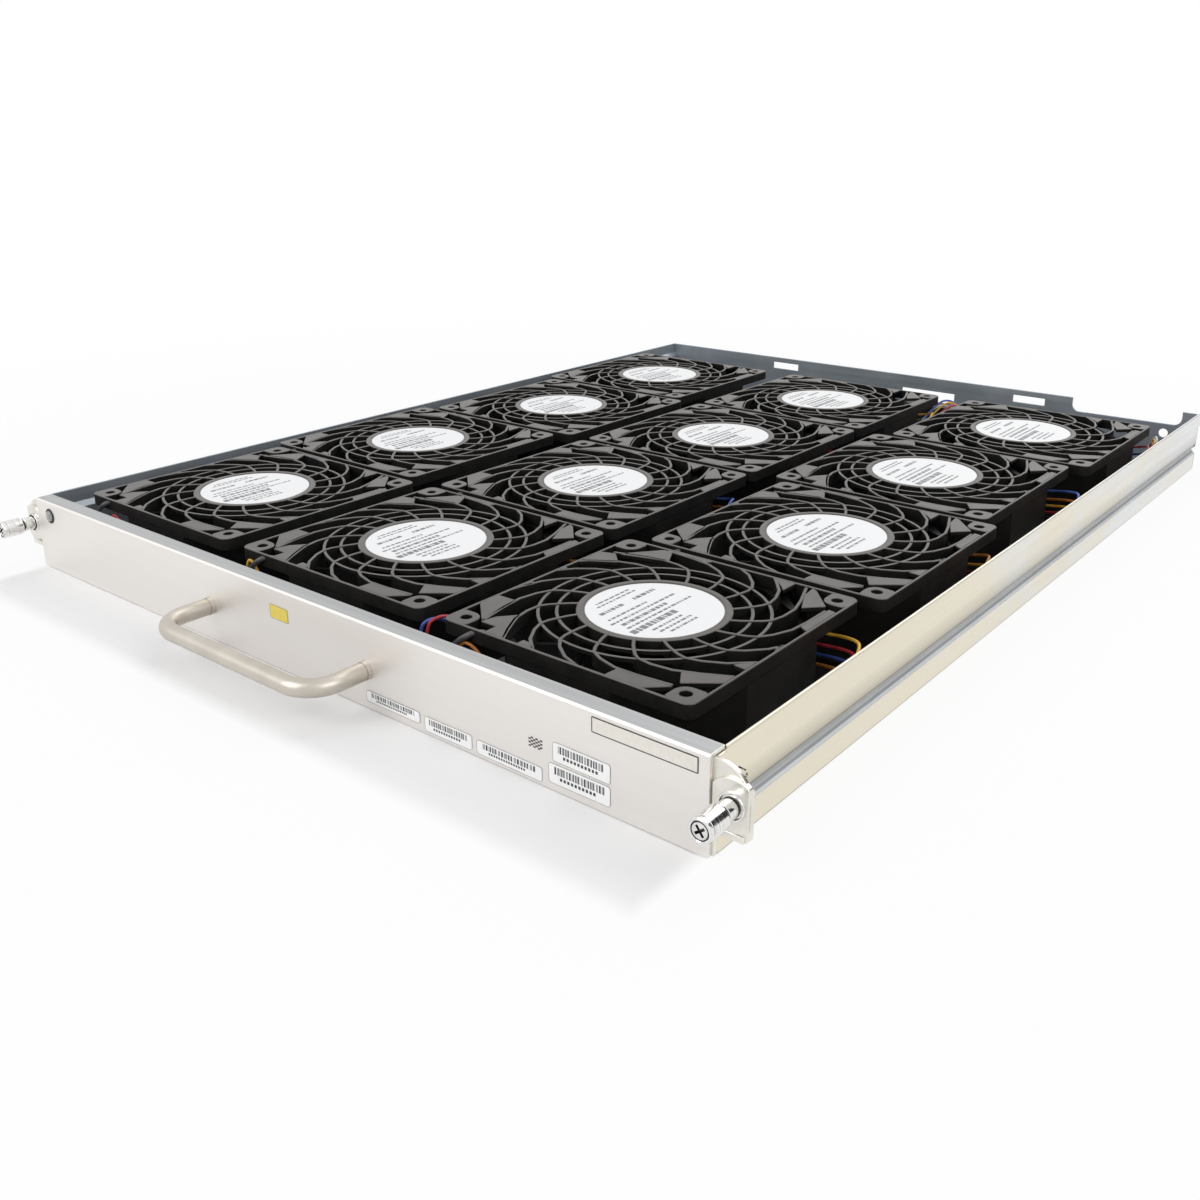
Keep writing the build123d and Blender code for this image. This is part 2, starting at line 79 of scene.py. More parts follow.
# A lighter copy of the sheet for the groove's lower slope is a painted highlight, and a darker copy for its
# floor and upper slope is painted shade
lit_slope_dark = (0.76, 0.78, 0.795, 1)
lit_slope_light = (0.84, 0.86, 0.87, 1)
shaded_hollow_dark = (0.45, 0.455, 0.45, 1)
shaded_hollow_light = (0.52, 0.525, 0.515, 1)
drift_size = 26 * MM
drift_stretch = (1, 0.6, 1.3)
drift_start = 0.45
drift_end = 0.8
cool_rise = 1.1
noise_detail = 4
noise_low = 0.3
noise_high = 0.7
rolling_size = 3 * MM
rolling_height = 0.02 * MM
rolling_strength = 0.2
rolling_gloss = 0.06
lines_along_tray = (1, 0.02, 1)
lines_across_tray = (0.02, 1, 1)
sheet_edge = 0.35 * MM
groove_bottom = 10.6 * MM
ledge_top = 12.6 * MM
groove_top = 15.6 * MM
groove_flare = 1.5 * MM
flare_reach = 1 * MM
facing_out = 0.3
# Height in millimetres and share of the unshaded colour, for bands painted darker: a painted contact
# shadow at the foot, painted shade above the groove, a painted dark line under the rim, and painted
# shade lines on the groove's slopes
foot_painted_shadow = ((0.3, 0.4), (0.8, 1))
fold_painted_shade = ((14, 1), (16, 0.26), (17.3, 0.28), (18, 0.62), (20, 0.78), (26, 1))
rim_painted_line = ((36.3, 1), (36.9, 0.8), (37.3, 1))
face_painted_shade = foot_painted_shadow + fold_painted_shade + rim_painted_line
ledge_painted_shade = ((10.65, 0.75), (10.9, 1), (11.4, 1), (11.7, 0.5), (12.1, 0.5), (12.4, 0.7))
hollow_painted_shade = ((12.6, 0.9), (14, 1), (16, 1), (16.7, 0.4))
shade_band_range = 40
eyelet_radius = 0.85 * MM
eyelet_sides = 24
eyelet_place = (-246 * MM, 21.6 * MM)
slit_length = 6 * MM
slit_width = 0.55 * MM
slit_place = (-248.6 * MM, 25.2 * MM)
slit_fall = 37
pierce_depth = 6 * MM


def shader_of(material):
    """The shader that gives a material its finish."""
    return material.node_tree.nodes["Principled BSDF"]


def finish_of(name, metallic, roughness):
    """New material with its node tree and its shader."""
    material = bpy.data.materials.new(name)
    material.use_nodes = True
    shader = shader_of(material)
    shader.inputs["Metallic"].default_value = metallic
    shader.inputs["Roughness"].default_value = roughness
    return material, material.node_tree, shader


def cloudy(tree, size, stretch=(1, 1, 1)):
    """Noise of about a size over the piece's own coordinates, stretched along chosen axes."""
    place = tree.nodes.new("ShaderNodeTexCoord")
    mapping = tree.nodes.new("ShaderNodeMapping")
    mapping.inputs["Scale"].default_value = stretch
    noise = tree.nodes.new("ShaderNodeTexNoise")
    noise.inputs["Scale"].default_value = 1 / size
    noise.inputs["Detail"].default_value = noise_detail
    tree.links.new(place.outputs["Object"], mapping.inputs["Vector"])
    tree.links.new(mapping.outputs["Vector"], noise.inputs["Vector"])
    return noise.outputs["Fac"]


def two_tone(tree, amount, dark, light, start=0.32, end=0.68):
    """Colour that goes from dark to light as a noise rises."""
    ramp = tree.nodes.new("ShaderNodeValToRGB")
    ramp.color_ramp.elements[0].position = start
    ramp.color_ramp.elements[0].color = dark
    ramp.color_ramp.elements[1].position = end
    ramp.color_ramp.elements[1].color = light
    tree.links.new(amount, ramp.inputs["Fac"])
    return ramp.outputs["Color"]


def spread(tree, amount, low, high):
    """Number that goes from low to high as a noise rises."""
    span = tree.nodes.new("ShaderNodeMapRange")
    span.inputs["From Min"].default_value = noise_low
    span.inputs["From Max"].default_value = noise_high
    span.inputs["To Min"].default_value = low
    span.inputs["To Max"].default_value = high
    tree.links.new(amount, span.inputs["Value"])
    return span.outputs["Result"]


def grain(tree, amount, height, strength=0.3):
    """Normal of a fine relief."""
    bump = tree.nodes.new("ShaderNodeBump")
    bump.inputs["Strength"].default_value = strength
    bump.inputs["Distance"].default_value = height
    tree.links.new(amount, bump.inputs["Height"])
    return bump.outputs["Normal"]


def dress(piece, *materials):
    """Gives a piece its materials."""
    piece.data.materials.clear()
    for material in materials:
        piece.data.materials.append(material)


def begin():
    """Nothing selected, so the next operator acts on its own piece only."""
    if bpy.context.mode != "OBJECT":
        bpy.ops.object.mode_set(mode="OBJECT")
    bpy.ops.object.select_all(action="DESELECT")


def round_edges(piece, width, segments=2, sharp=25):
    """Rounds a piece's sharp edges."""
    bevel = piece.modifiers.new("edges", "BEVEL")
    bevel.width = width
    bevel.segments = segments
    bevel.limit_method = "ANGLE"
    bevel.angle_limit = radians(sharp)
    bpy.ops.object.modifier_apply(modifier=bevel.name)


def settle(name, smooth_angle=35):
    """Ends a piece: normals outwards, place in its mesh, smooth where it is round and even where flat."""
    piece = bpy.context.object
    bpy.ops.object.mode_set(mode="EDIT")
    bpy.ops.mesh.select_all(action="SELECT")
    bpy.ops.mesh.remove_doubles(threshold=0.001 * MM)
    bpy.ops.mesh.normals_make_consistent(inside=False)
    bpy.ops.object.mode_set(mode="OBJECT")
    bpy.ops.object.transform_apply(location=True, rotation=True, scale=True)
    bpy.ops.object.shade_smooth_by_angle(angle=radians(smooth_angle))
    even = piece.modifiers.new("even", "WEIGHTED_NORMAL")
    even.keep_sharp = True
    bpy.ops.object.modifier_apply(modifier=even.name)
    piece.name = name
    piece.data.name = name
    return piece


def merged_copy(node_name, piece_name):
    """Copy of a CAD node with whole flat faces, ready to be worked on."""
    begin()
    piece = bpy.data.objects.new(piece_name, nodes[node_name].data.copy())
    bpy.context.collection.objects.link(piece)
    piece.select_set(True)
    bpy.context.view_layer.objects.active = piece
    bpy.ops.object.mode_set(mode="EDIT")
    bpy.ops.mesh.select_all(action="SELECT")
    bpy.ops.mesh.remove_doubles(threshold=0.001 * MM)
    bpy.ops.mesh.dissolve_limited(angle_limit=radians(1))
    bpy.ops.object.mode_set(mode="OBJECT")
    return piece


def rounded_copy(node_name, piece_name, edge):
    """Copy of a CAD node with its sharp edges rounded, to stand for it."""
    round_edges(merged_copy(node_name, piece_name), edge)
    return settle(piece_name)


def carve(piece, cutter):
    """Cuts one piece out of another and removes the cutter."""
    begin()
    piece.select_set(True)
    bpy.context.view_layer.objects.active = piece
    cut = piece.modifiers.new("cut", "BOOLEAN")
    cut.operation = "DIFFERENCE"
    cut.solver = "EXACT"
    cut.object = cutter
    bpy.ops.object.modifier_apply(modifier=cut.name)
    bpy.data.objects.remove(cutter)


def stand_for(piece, body, slot, *node_names):
    """A piece moves with a body and stands for CAD nodes. The slot is not used."""
    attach(piece, body)
    if node_names:
        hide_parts(*node_names)


def towards_rear(tree, amount, rise):
    """Noise that rises along the tray, towards its rear."""
    place = tree.nodes.new("ShaderNodeTexCoord")
    parts = tree.nodes.new("ShaderNodeSeparateXYZ")
    total = tree.nodes.new("ShaderNodeMath")
    total.operation = "MULTIPLY_ADD"
    total.inputs[1].default_value = rise
    tree.links.new(place.outputs["Object"], parts.inputs["Vector"])
    tree.links.new(parts.outputs["Y"], total.inputs[0])
    tree.links.new(amount, total.inputs[2])
    return total.outputs["Value"]


def sheet_of(name, dark, light, metallic, roughness, lines, rise=0.0):
    """Plated steel sheet that drifts between two tones, with fine rolling lines one way."""
    material, tree, shader = finish_of(name, metallic, roughness)
    rolling = cloudy(tree, rolling_size, lines)
    drift = towards_rear(tree, cloudy(tree, drift_size, drift_stretch), rise)
    colour = two_tone(tree, drift, dark, light, drift_start, drift_end)
    gloss = spread(tree, rolling, roughness - rolling_gloss, roughness + rolling_gloss)
    relief = grain(tree, rolling, rolling_height, rolling_strength)
    tree.links.new(colour, shader.inputs["Base Color"])
    tree.links.new(gloss, shader.inputs["Roughness"])
    tree.links.new(relief, shader.inputs["Normal"])
    return material


def paint_shade_bands(material, heights):
    """Darkens a sheet's colour in bands at some heights above the floor, as painted shade and painted dark
    lines.
    """
    tree = material.node_tree
    shader = shader_of(material)
    unshaded = shader.inputs["Base Color"].links[0].from_socket
    place = tree.nodes.new("ShaderNodeTexCoord")
    parts = tree.nodes.new("ShaderNodeSeparateXYZ")
    height = tree.nodes.new("ShaderNodeMath")
    height.operation = "DIVIDE"
    height.inputs[1].default_value = shade_band_range * MM
    ramp = tree.nodes.new("ShaderNodeValToRGB")
    stops = ramp.color_ramp.elements
    while len(stops) < len(heights):
        stops.new(1)
    for stop, (level, share) in zip(stops, heights):
        stop.position = level / shade_band_range
        stop.color = (share, share, share, 1)
    mix = tree.nodes.new("ShaderNodeMix")
    mix.data_type = "RGBA"
    mix.blend_type = "MULTIPLY"
    mix.inputs["Factor"].default_value = 1
    tree.links.new(place.outputs["Object"], parts.inputs["Vector"])
    tree.links.new(parts.outputs["Z"], height.inputs[0])
    tree.links.new(height.outputs["Value"], ramp.inputs["Fac"])
    # A Mix node's colour sockets share their names with others, so they are taken by number.
    tree.links.new(unshaded, mix.inputs[6])
    tree.links.new(ramp.outputs["Color"], mix.inputs[7])
    tree.links.new(mix.outputs[2], shader.inputs["Base Color"])


# The floor, the left wall and the rear wall take the slate copy as painted shade.
shaded_slate_sheet = sheet_of("shaded_slate_sheet", shaded_slate_dark, shaded_slate_light, 0.5, 0.38, lines_along_tray)
shaded_rear_sheet = sheet_of("shaded_rear_sheet", shaded_slate_dark, shaded_slate_light, 0.5, 0.38, lines_across_tray)
dress(nodes["tray_floor"], shaded_slate_sheet)
for wall, material in (("left_side_wall", shaded_slate_sheet), ("rear_wall", shaded_rear_sheet)):
    sheet_wall = rounded_copy(wall, f"folded_{wall}", sheet_edge)
    dress(sheet_wall, material)
    stand_for(sheet_wall, "chassis", "tray_sheet", wall)
zinc_sheet = sheet_of("zinc_sheet", zinc_straw, zinc_cool, 1.0, 0.3, lines_along_tray, cool_rise)
painted_lit_ledge = sheet_of("painted_lit_ledge", lit_slope_dark, lit_slope_light, 0.3, 0.4, lines_along_tray)
painted_shaded_hollow = sheet_of("painted_shaded_hollow", shaded_hollow_dark, shaded_hollow_light, 0.4, 0.4, lines_along_tray)
# The right wall's sheet and the groove's two copies are darkened in bands as painted shade.
paint_shade_bands(zinc_sheet, face_painted_shade)
paint_shade_bands(painted_lit_ledge, ledge_painted_shade)
paint_shade_bands(painted_shaded_hollow, hollow_painted_shade)
grooved_wall = merged_copy("right_side_wall", "grooved_wall")
for vertex in grooved_wall.data.vertices:
    if abs(vertex.co.z - groove_top) < flare_reach:
        vertex.co.z += groove_flare
round_edges(grooved_wall, sheet_edge)
wall_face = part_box("right_side_wall")[1].x
begin()
bpy.ops.mesh.primitive_cylinder_add(
    vertices=eyelet_sides,
    radius=eyelet_radius,
    depth=pierce_depth,
    location=(wall_face, *eyelet_place),
    rotation=(0, pi / 2, 0),
)
carve(grooved_wall, bpy.context.object)
begin()
bpy.ops.mesh.primitive_cube_add(
    size=1,
    location=(wall_face, *slit_place),
    rotation=(-radians(slit_fall), 0, 0),
)
bpy.context.object.scale = (pierce_depth, slit_length, slit_width)
carve(grooved_wall, bpy.context.object)
grooved_wall = settle("folded_right_side_wall")
dress(grooved_wall, zinc_sheet, painted_lit_ledge, painted_shaded_hollow)
# Outward faces of the groove's lower slope take the lighter copy as a painted highlight, and its floor and
# upper slope take the darker copy as painted shade.
hollow_top = groove_top + groove_flare - sheet_edge
for face in grooved_wall.data.polygons:
    if face.normal.x > facing_out and groove_bottom < face.center.z < hollow_top:
        face.material_index = 1 if face.center.z < ledge_top else 2
stand_for(grooved_wall, "chassis", "tray_sheet", "right_side_wall")

# Front panel: aluminium face plate with a folded top flange that is left bare. A warm satin finish
# covers the face. The flange's upward faces take a darker grey, partly for the bare metal and partly
# as painted shade for the grey that they reflect. It is screwed to the ears and carries the handle,
# the lamp and the stickers.
panel_light = (0.845, 0.815, 0.785, 1)
panel_dark = (0.83, 0.8, 0.77, 1)
# Darker grey of the flange's top: bare metal, and painted shade for its reflection
bare_and_shaded_flange_light = (0.5, 0.505, 0.51, 1)
bare_and_shaded_flange_dark = (0.42, 0.425, 0.43, 1)
brush_size = 2 * MM
brush_stretch = (0.015, 1, 1)
panel_gloss = (0.43, 0.47)
flange_gloss = (0.34, 0.44)
panel_edge = 0.5 * MM
flange_tilt = 0.95


def mottled(name, metallic, roughness, size, dark, light, gloss=None, stretch=(1, 1, 1)):
    """Finish that drifts between two tones, and between two roughnesses where they are given."""
    material, tree, shader = finish_of(name, metallic, roughness)
    drift = cloudy(tree, size, stretch)
    tree.links.new(two_tone(tree, drift, dark, light), shader.inputs["Base Color"])
    if gloss:
        tree.links.new(spread(tree, drift, *gloss), shader.inputs["Roughness"])
    return material


def two_faced(piece, sides, top, tilt):
    """Upper faces in one material and all the others in another."""
    dress(piece, sides, top)
    for face in piece.data.polygons:
        face.material_index = 1 if face.normal.z > tilt else 0


panel_metal = mottled(
    "brushed_panel", 0.9, 0.45, brush_size, panel_dark, panel_light, panel_gloss, brush_stretch
)
bare_and_shaded_flange = mottled(
    "bare_flange_painted_shade", 1.0, 0.4, brush_size, bare_and_shaded_flange_dark, bare_and_shaded_flange_light, flange_gloss, brush_stretch
)
face_plate = rounded_copy("front_panel", "face_plate", panel_edge)
# Upward faces take the darker flange finish, partly bare metal and partly painted shade.
two_faced(face_plate, panel_metal, bare_and_shaded_flange, flange_tilt)
stand_for(face_plate, "chassis", "panel", "front_panel")
panel_low, panel_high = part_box("front_panel")
panel_front = panel_low.y

# Ears: zinc-plated steel plates behind the panel's ends. They stand out past the walls, and each has
# a round raised pad under its captive screw and a lip along its lower edge.
ear_light = (0.84, 0.82, 0.755, 1)
ear_dark = (0.72, 0.7, 0.64, 1)
ear_bottom = 9.5 * MM
plating_size = 8 * MM
plating_gloss = (0.22, 0.34)
ear_corner = 12.5 * MM
ear_corner_steps = 8
ear_foot_step = 1 * MM
ear_corner_cut = 2 * MM
ear_edge = 0.4 * MM
ear_thickness = 2 * MM
pad_radius = 9.6 * MM
pad_height = 1.1 * MM
pad_edge = 0.9 * MM
lip_height = 2.6 * MM
lip_depth = 0.7 * MM
spigot_radius = 3.2 * MM
spigot_overshoot = 3 * MM
pad_sides = 64


def block(low, high):
    """Box between two corners."""
    begin()
    middle = (Vector(low) + Vector(high)) / 2
    bpy.ops.mesh.primitive_cube_add(size=1, location=middle)
    bpy.context.object.scale = Vector(high) - Vector(low)
    bpy.ops.object.transform_apply(location=True, rotation=True, scale=True)
    return bpy.context.object


def rod(x, z, radius, front, rear, sides):
    """Round bar along Y."""
    begin()
    bpy.ops.mesh.primitive_cylinder_add(
        vertices=sides,
        radius=radius,
        depth=rear - front,
        location=(x, (front + rear) / 2, z),
        rotation=(pi / 2, 0, 0),
    )
    bpy.ops.object.transform_apply(location=True, rotation=True, scale=True)
    return bpy.context.object


def join(pieces):
    """Makes one object of several."""
    begin()
    for piece in pieces:
        piece.select_set(True)
    bpy.context.view_layer.objects.active = pieces[0]
    bpy.ops.object.join()
    return bpy.context.object


def pull(step):
    """Extrudes the selected faces or edges by a step."""
    bpy.ops.mesh.extrude_region_move(TRANSFORM_OT_translate={"value": step})


def flat_outline(outline, top):
    """Flat face: a disc whose corners go to an outline."""
    begin()
    bpy.ops.mesh.primitive_circle_add(vertices=len(outline), radius=1, fill_type="NGON")
    plate = bpy.context.object
    for vertex, (x, y) in zip(plate.data.vertices, outline):
        vertex.co = (x, y, top)
    bpy.ops.object.mode_set(mode="EDIT")
    bpy.ops.mesh.select_all(action="SELECT")
    return plate


def cut_plate(outline, top, depth):
    """Flat plate of an outline, pulled down to its depth."""
    plate = flat_outline(outline, top)
    pull((0, 0, -depth))
    bpy.ops.object.mode_set(mode="OBJECT")
    return plate


zinc_plate = mottled("zinc_plate", 1.0, 0.3, plating_size, ear_dark, ear_light, plating_gloss)
for side, outward in (("left", -1), ("right", 1)):
    ear_low, ear_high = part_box(f"{side}_ear")
    screw_low, screw_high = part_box(f"{side}_captive_screw")
    screw_x = (screw_low.x + screw_high.x) / 2
    screw_z = (screw_low.z + screw_high.z) / 2
    inner = min(abs(ear_low.x), abs(ear_high.x))
    outer = max(abs(ear_low.x), abs(ear_high.x))
    wall_x = panel_high.x + ear_foot_step
    rear = ear_high.y
    front = rear - ear_thickness
    outline = [(inner, 0), (wall_x, 0), (wall_x, ear_bottom), (outer - ear_corner_cut, ear_bottom)]
    outline.append((outer, ear_bottom + ear_corner_cut))
    for step in range(ear_corner_steps + 1):
        turn = pi / 2 * step / ear_corner_steps
        corner_x = outer - ear_corner + ear_corner * cos(turn)
        outline.append((corner_x, ear_high.z - ear_corner + ear_corner * sin(turn)))
    outline.append((inner, ear_high.z))
    plate = cut_plate([(outward * x, z) for x, z in outline], 0, ear_thickness)
    plate.data.transform(Matrix.Translation((0, front, 0)) @ Matrix.Rotation(pi / 2, 4, "X"))
    round_edges(plate, ear_edge)
    pad = rod(screw_x, screw_z, pad_radius, front - pad_height, rear - ear_edge, pad_sides)
    bpy.ops.object.mode_set(mode="EDIT")
    for reach, facing in ((outer - ear_edge, outward), (panel_high.x + ear_edge, -outward)):
        cut_place = (outward * reach, 0, 0)
        bpy.ops.mesh.select_all(action="SELECT")
        bpy.ops.mesh.bisect(plane_co=cut_place, plane_no=(facing, 0, 0), use_fill=True, clear_outer=True)
    bpy.ops.object.mode_set(mode="OBJECT")
    round_edges(pad, pad_edge, segments=4)
    lip_sides = sorted((outward * (panel_high.x + ear_edge), outward * (outer - ear_corner_cut)))
    lip_low = (lip_sides[0], front - lip_depth, ear_bottom)
    lip_high = (lip_sides[1], rear - ear_edge, ear_bottom + lip_height)
    lip = block(lip_low, lip_high)
    round_edges(lip, ear_edge, segments=3)
    drill_front = front - spigot_overshoot
    drill_rear = rear + spigot_overshoot
    for piece in (plate, pad):
        carve(piece, rod(screw_x, screw_z, spigot_radius, drill_front, drill_rear, pad_sides))
    join([plate, pad, lip])
    ear = settle(f"{side}_ear_plate")
    dress(ear, zinc_plate)
    stand_for(ear, "chassis", "ear", f"{side}_ear")
ear_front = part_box("left_ear")[1].y - ear_thickness

# Pull handle: one round steel bar bent into a flat U, satin nickel plated in a warm tone. A collar
# meets the panel at each end, and screws from behind hold it.
bar_radius = 3.9 * MM
bar_sides = 32
bend_radius = 14 * MM
bend_steps = 14
collar_radius = 4.05 * MM
collar_length = 2.2 * MM
groove_radius = 3.7 * MM
groove_length = 0.5 * MM
handle_low, handle_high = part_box("pull_handle")
bar_z = (handle_low.z + handle_high.z) / 2
bar_left = handle_low.x + bar_radius
bar_right = handle_high.x - bar_radius
bar_front = handle_low.y + bar_radius
satin_light = (0.62, 0.58, 0.52, 1)
satin_dark = (0.52, 0.48, 0.42, 1)
satin_drift = 20 * MM
satin_size = 1.2 * MM
satin_gloss = (0.32, 0.44)
satin_height = 0.02 * MM


def swell(size, centre):
    """Grows or shrinks the selected end about the bar's axis along Y."""
    bpy.ops.transform.resize(value=(size, 1, size), center_override=centre)


def grained(name, metallic, roughness, size, dark, light, fine_size, gloss, height):
    """Finish that drifts between two tones, with a fine grain in its gloss and its relief."""
    material, tree, shader = finish_of(name, metallic, roughness)
    fine = cloudy(tree, fine_size)
    tree.links.new(two_tone(tree, cloudy(tree, size), dark, light), shader.inputs["Base Color"])
    tree.links.new(spread(tree, fine, *gloss), shader.inputs["Roughness"])
    tree.links.new(grain(tree, fine, height), shader.inputs["Normal"])
    return material


begin()
bpy.ops.mesh.primitive_circle_add(
    vertices=bar_sides,
    radius=collar_radius,
    fill_type="NGON",
    location=(bar_left, panel_front, bar_z),
    rotation=(pi / 2, 0, 0),
)
bpy.ops.object.transform_apply(location=True, rotation=True, scale=True)
bpy.ops.object.mode_set(mode="EDIT")
bpy.ops.mesh.select_all(action="SELECT")
bar_steps = (
    (collar_length, collar_radius, collar_radius),
    (0, collar_radius, groove_radius),
    (groove_length, groove_radius, groove_radius),
    (0, groove_radius, bar_radius),
)
left_foot = (bar_left, panel_front, bar_z)
for length, old_radius, new_radius in bar_steps:
    pull((0, -length, 0))
    swell(new_radius / old_radius, left_foot)
leg = panel_front - collar_length - groove_length - bar_front - bend_radius
pull((0, -leg, 0))
left_bend = (bar_left + bend_radius, bar_front + bend_radius, bar_z)
right_bend = (bar_right - bend_radius, bar_front + bend_radius, bar_z)
bpy.ops.mesh.spin(steps=bend_steps, angle=-pi / 2, center=left_bend, axis=(0, 0, 1))
pull((right_bend[0] - left_bend[0], 0, 0))
bpy.ops.mesh.spin(steps=bend_steps, angle=-pi / 2, center=right_bend, axis=(0, 0, 1))
pull((0, leg, 0))
right_foot = (bar_right, panel_front, bar_z)
for length, new_radius, old_radius in reversed(bar_steps):
    pull((0, 0, 0))
    swell(new_radius / old_radius, right_foot)
    pull((0, length, 0))
handle_bar = settle("handle_bar")
satin_nickel = grained(
    "satin_nickel", 1.0, 0.36, satin_drift, satin_dark, satin_light, satin_size, satin_gloss, satin_height
)
dress(handle_bar, satin_nickel)
stand_for(handle_bar, "chassis", "handle", "pull_handle")
dress(nodes["handle_screws"], zinc_plate)

# Captive screws: turned knobs in bright nickel, each with a groove, a cross recess and a threaded
# shank. A spring round the shank pushes the knob out of a ferrule that is pressed into the ear. The
# cross recess and a gap in the ferrule are painted near black as shade.
knob_sides = 48
bright_light = (0.86, 0.855, 0.84, 1)
bright_dark = (0.68, 0.675, 0.665, 1)
bright_gloss = (0.08, 0.2)
turning_size = 1.5 * MM
turning_stretch = (0.2, 2, 0.2)
# Near-black painted shade for the cross recesses and the ferrules' gaps
shade_dark = (0.06, 0.06, 0.06, 1)
shade_light = (0.14, 0.14, 0.135, 1)
shade_size = 1 * MM
recess_length = 4.4 * MM
recess_width = 1.0 * MM
recess_depth = 1.6 * MM
recess_turn = 53
recess_rim = 3.35 * MM
recess_reach = (0.3 * MM, 1.7 * MM)
# Radius and distance behind the knob's face, in millimetres
knob_profile = (
    (2.9, 0.25),
    (3.05, 0.4),
    (3.05, 1.1),
    (3.4, 1.1),
    (3.4, 0.25),
    (3.65, 0),
    (4.1, 0),
    (4.45, 0.3),
    (4.5, 0.7),
    (4.5, 1.5),
    (4.1, 1.65),
    (4.1, 2.3),
    (4.5, 2.45),
    (4.5, 10.1),
    (4.3, 10.4),
    (3.95, 10.4),
    (3.95, 5.0),
    (1.65, 5.0),
)
# Radius and distance behind the ear's front, in millimetres
ferrule_profile = (
    (2.4, 2.0),
    (3.2, 2.0),
    (3.2, -0.8),
    (5.1, -0.8),
    (5.1, -1.6),
    (4.9, -1.95),
    (4.5, -2.0),
    (4.4, -1.9),
    (4.35, -1.0),
    (3.6, -1.0),
    (3.6, -6.9),
    (3.35, -7.15),
    (2.4, -7.15),
    (2.4, 2.0),
)
ferrule_gap_radii = (3.65 * MM, 4.45 * MM)
ferrule_gap_reach = (0.9 * MM, 1.92 * MM)
thread_start = 4.6 * MM
thread_pitch = 0.7 * MM
thread_crest = 1.95 * MM
thread_root = 1.65 * MM
thread_end = 0.6 * MM
tip_radius = 1.2 * MM
spring_wire = 0.34 * MM
spring_wire_sides = 10
spring_turns = 4.5
spring_steps = 24


def turned(name, x, z, stations, start="NGON"):
    """Round piece along Y: a disc or a ring pulled from station to station and sized at each one."""
    radius, y = stations[0]
    begin()
    bpy.ops.mesh.primitive_circle_add(
        vertices=knob_sides, radius=radius, fill_type=start, location=(x, y, z), rotation=(pi / 2, 0, 0)
    )
    bpy.ops.object.transform_apply(location=True, rotation=True, scale=True)
    bpy.ops.object.mode_set(mode="EDIT")
    bpy.ops.mesh.select_all(action="SELECT")
    for next_radius, next_y in stations[1:]:
        pull((0, next_y - y, 0))
        swell(next_radius / radius, (x, next_y, z))
        radius, y = next_radius, next_y
    return settle(name)


def coil(name, low, high):
    """Coil spring along Y that fills a box: a round section carried round and along by a screw."""
    begin()
    mean_radius = (high.x - low.x) / 2 - spring_wire
    bpy.ops.mesh.primitive_circle_add(
        vertices=spring_wire_sides, radius=spring_wire, location=(mean_radius, 0, 0), rotation=(pi / 2, 0, 0)
    )
    bpy.ops.object.transform_apply(location=True, rotation=True, scale=True)
    winding = bpy.context.object.modifiers.new("winding", "SCREW")
    winding.angle = 2 * pi * spring_turns
    winding.screw_offset = high.y - low.y - 2 * spring_wire
    winding.steps = round(spring_turns * spring_steps)
    winding.render_steps = winding.steps
    bpy.ops.object.modifier_apply(modifier=winding.name)
    bpy.ops.object.mode_set(mode="EDIT")
    bpy.ops.mesh.select_all(action="SELECT")
    bpy.ops.mesh.fill_holes(sides=0)
    bpy.ops.object.mode_set(mode="OBJECT")
    start = Vector(((low.x + high.x) / 2, low.y + spring_wire, (low.z + high.z) / 2))
    bpy.context.object.data.transform(Matrix.Translation(start) @ Matrix.Rotation(-pi / 2, 4, "X"))
    return settle(name, smooth_angle=60)


bright_nickel = mottled(
    "bright_nickel", 1.0, 0.14, turning_size, bright_dark, bright_light, bright_gloss, turning_stretch
)
recess_painted_shade = mottled("recess_painted_shade", 1.0, 0.4, shade_size, shade_dark, shade_light)
ferrules = []
for side in ("left", "right"):
    screw_low, screw_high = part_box(f"{side}_captive_screw")
    x = (screw_low.x + screw_high.x) / 2
    z = (screw_low.z + screw_high.z) / 2
    face = screw_low.y
    stations = [(radius * MM, face + along * MM) for radius, along in knob_profile]
    y = panel_front + thread_start
    stations.append((thread_root, y))
    while y + thread_pitch < screw_high.y - thread_end:
        stations.append((thread_crest, y + thread_pitch / 2))
        stations.append((thread_root, y + thread_pitch))
        y += thread_pitch
    stations.append((tip_radius, screw_high.y))
    knob = turned(f"{side}_knob", x, z, stations)
    for turn in (0, pi / 2):
        corner = Vector((recess_length / 2, recess_depth, recess_width / 2))
        cutter = block(-corner, corner)
        cutter.rotation_euler = (0, turn + radians(recess_turn), 0)
        cutter.location = (x, face, z)
        bpy.ops.object.transform_apply(location=True, rotation=True, scale=True)
        carve(knob, cutter)
    dress(knob, bright_nickel, recess_painted_shade)
    # Faces inside the cross recess are painted near black as shade.
    for facet in knob.data.polygons:
        depth = facet.center.y - face
        off_axis = Vector((facet.center.x - x, facet.center.z - z)).length
        if recess_reach[0] < depth < recess_reach[1] and off_axis < recess_rim:
            facet.material_index = 1
    stand_for(knob, f"{side}_screw", "bright_screw", f"{side}_captive_screw")
    dress(nodes[f"{side}_captive_washer"], zinc_plate)
    spring_low, spring_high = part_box(f"{side}_captive_spring")
    spring = coil(f"{side}_spring", spring_low, spring_high)
    dress(spring, zinc_plate)
    stand_for(spring, "chassis", "spring", f"{side}_captive_spring")
    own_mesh(spring)
    stations = [(radius * MM, ear_front + along * MM) for radius, along in ferrule_profile]
    ferrules.append(turned(f"{side}_ferrule", x, z, stations, start="NOTHING"))
join(ferrules)
ferrule_pair = settle("ferrule_pair")
dress(ferrule_pair, bright_nickel, recess_painted_shade)
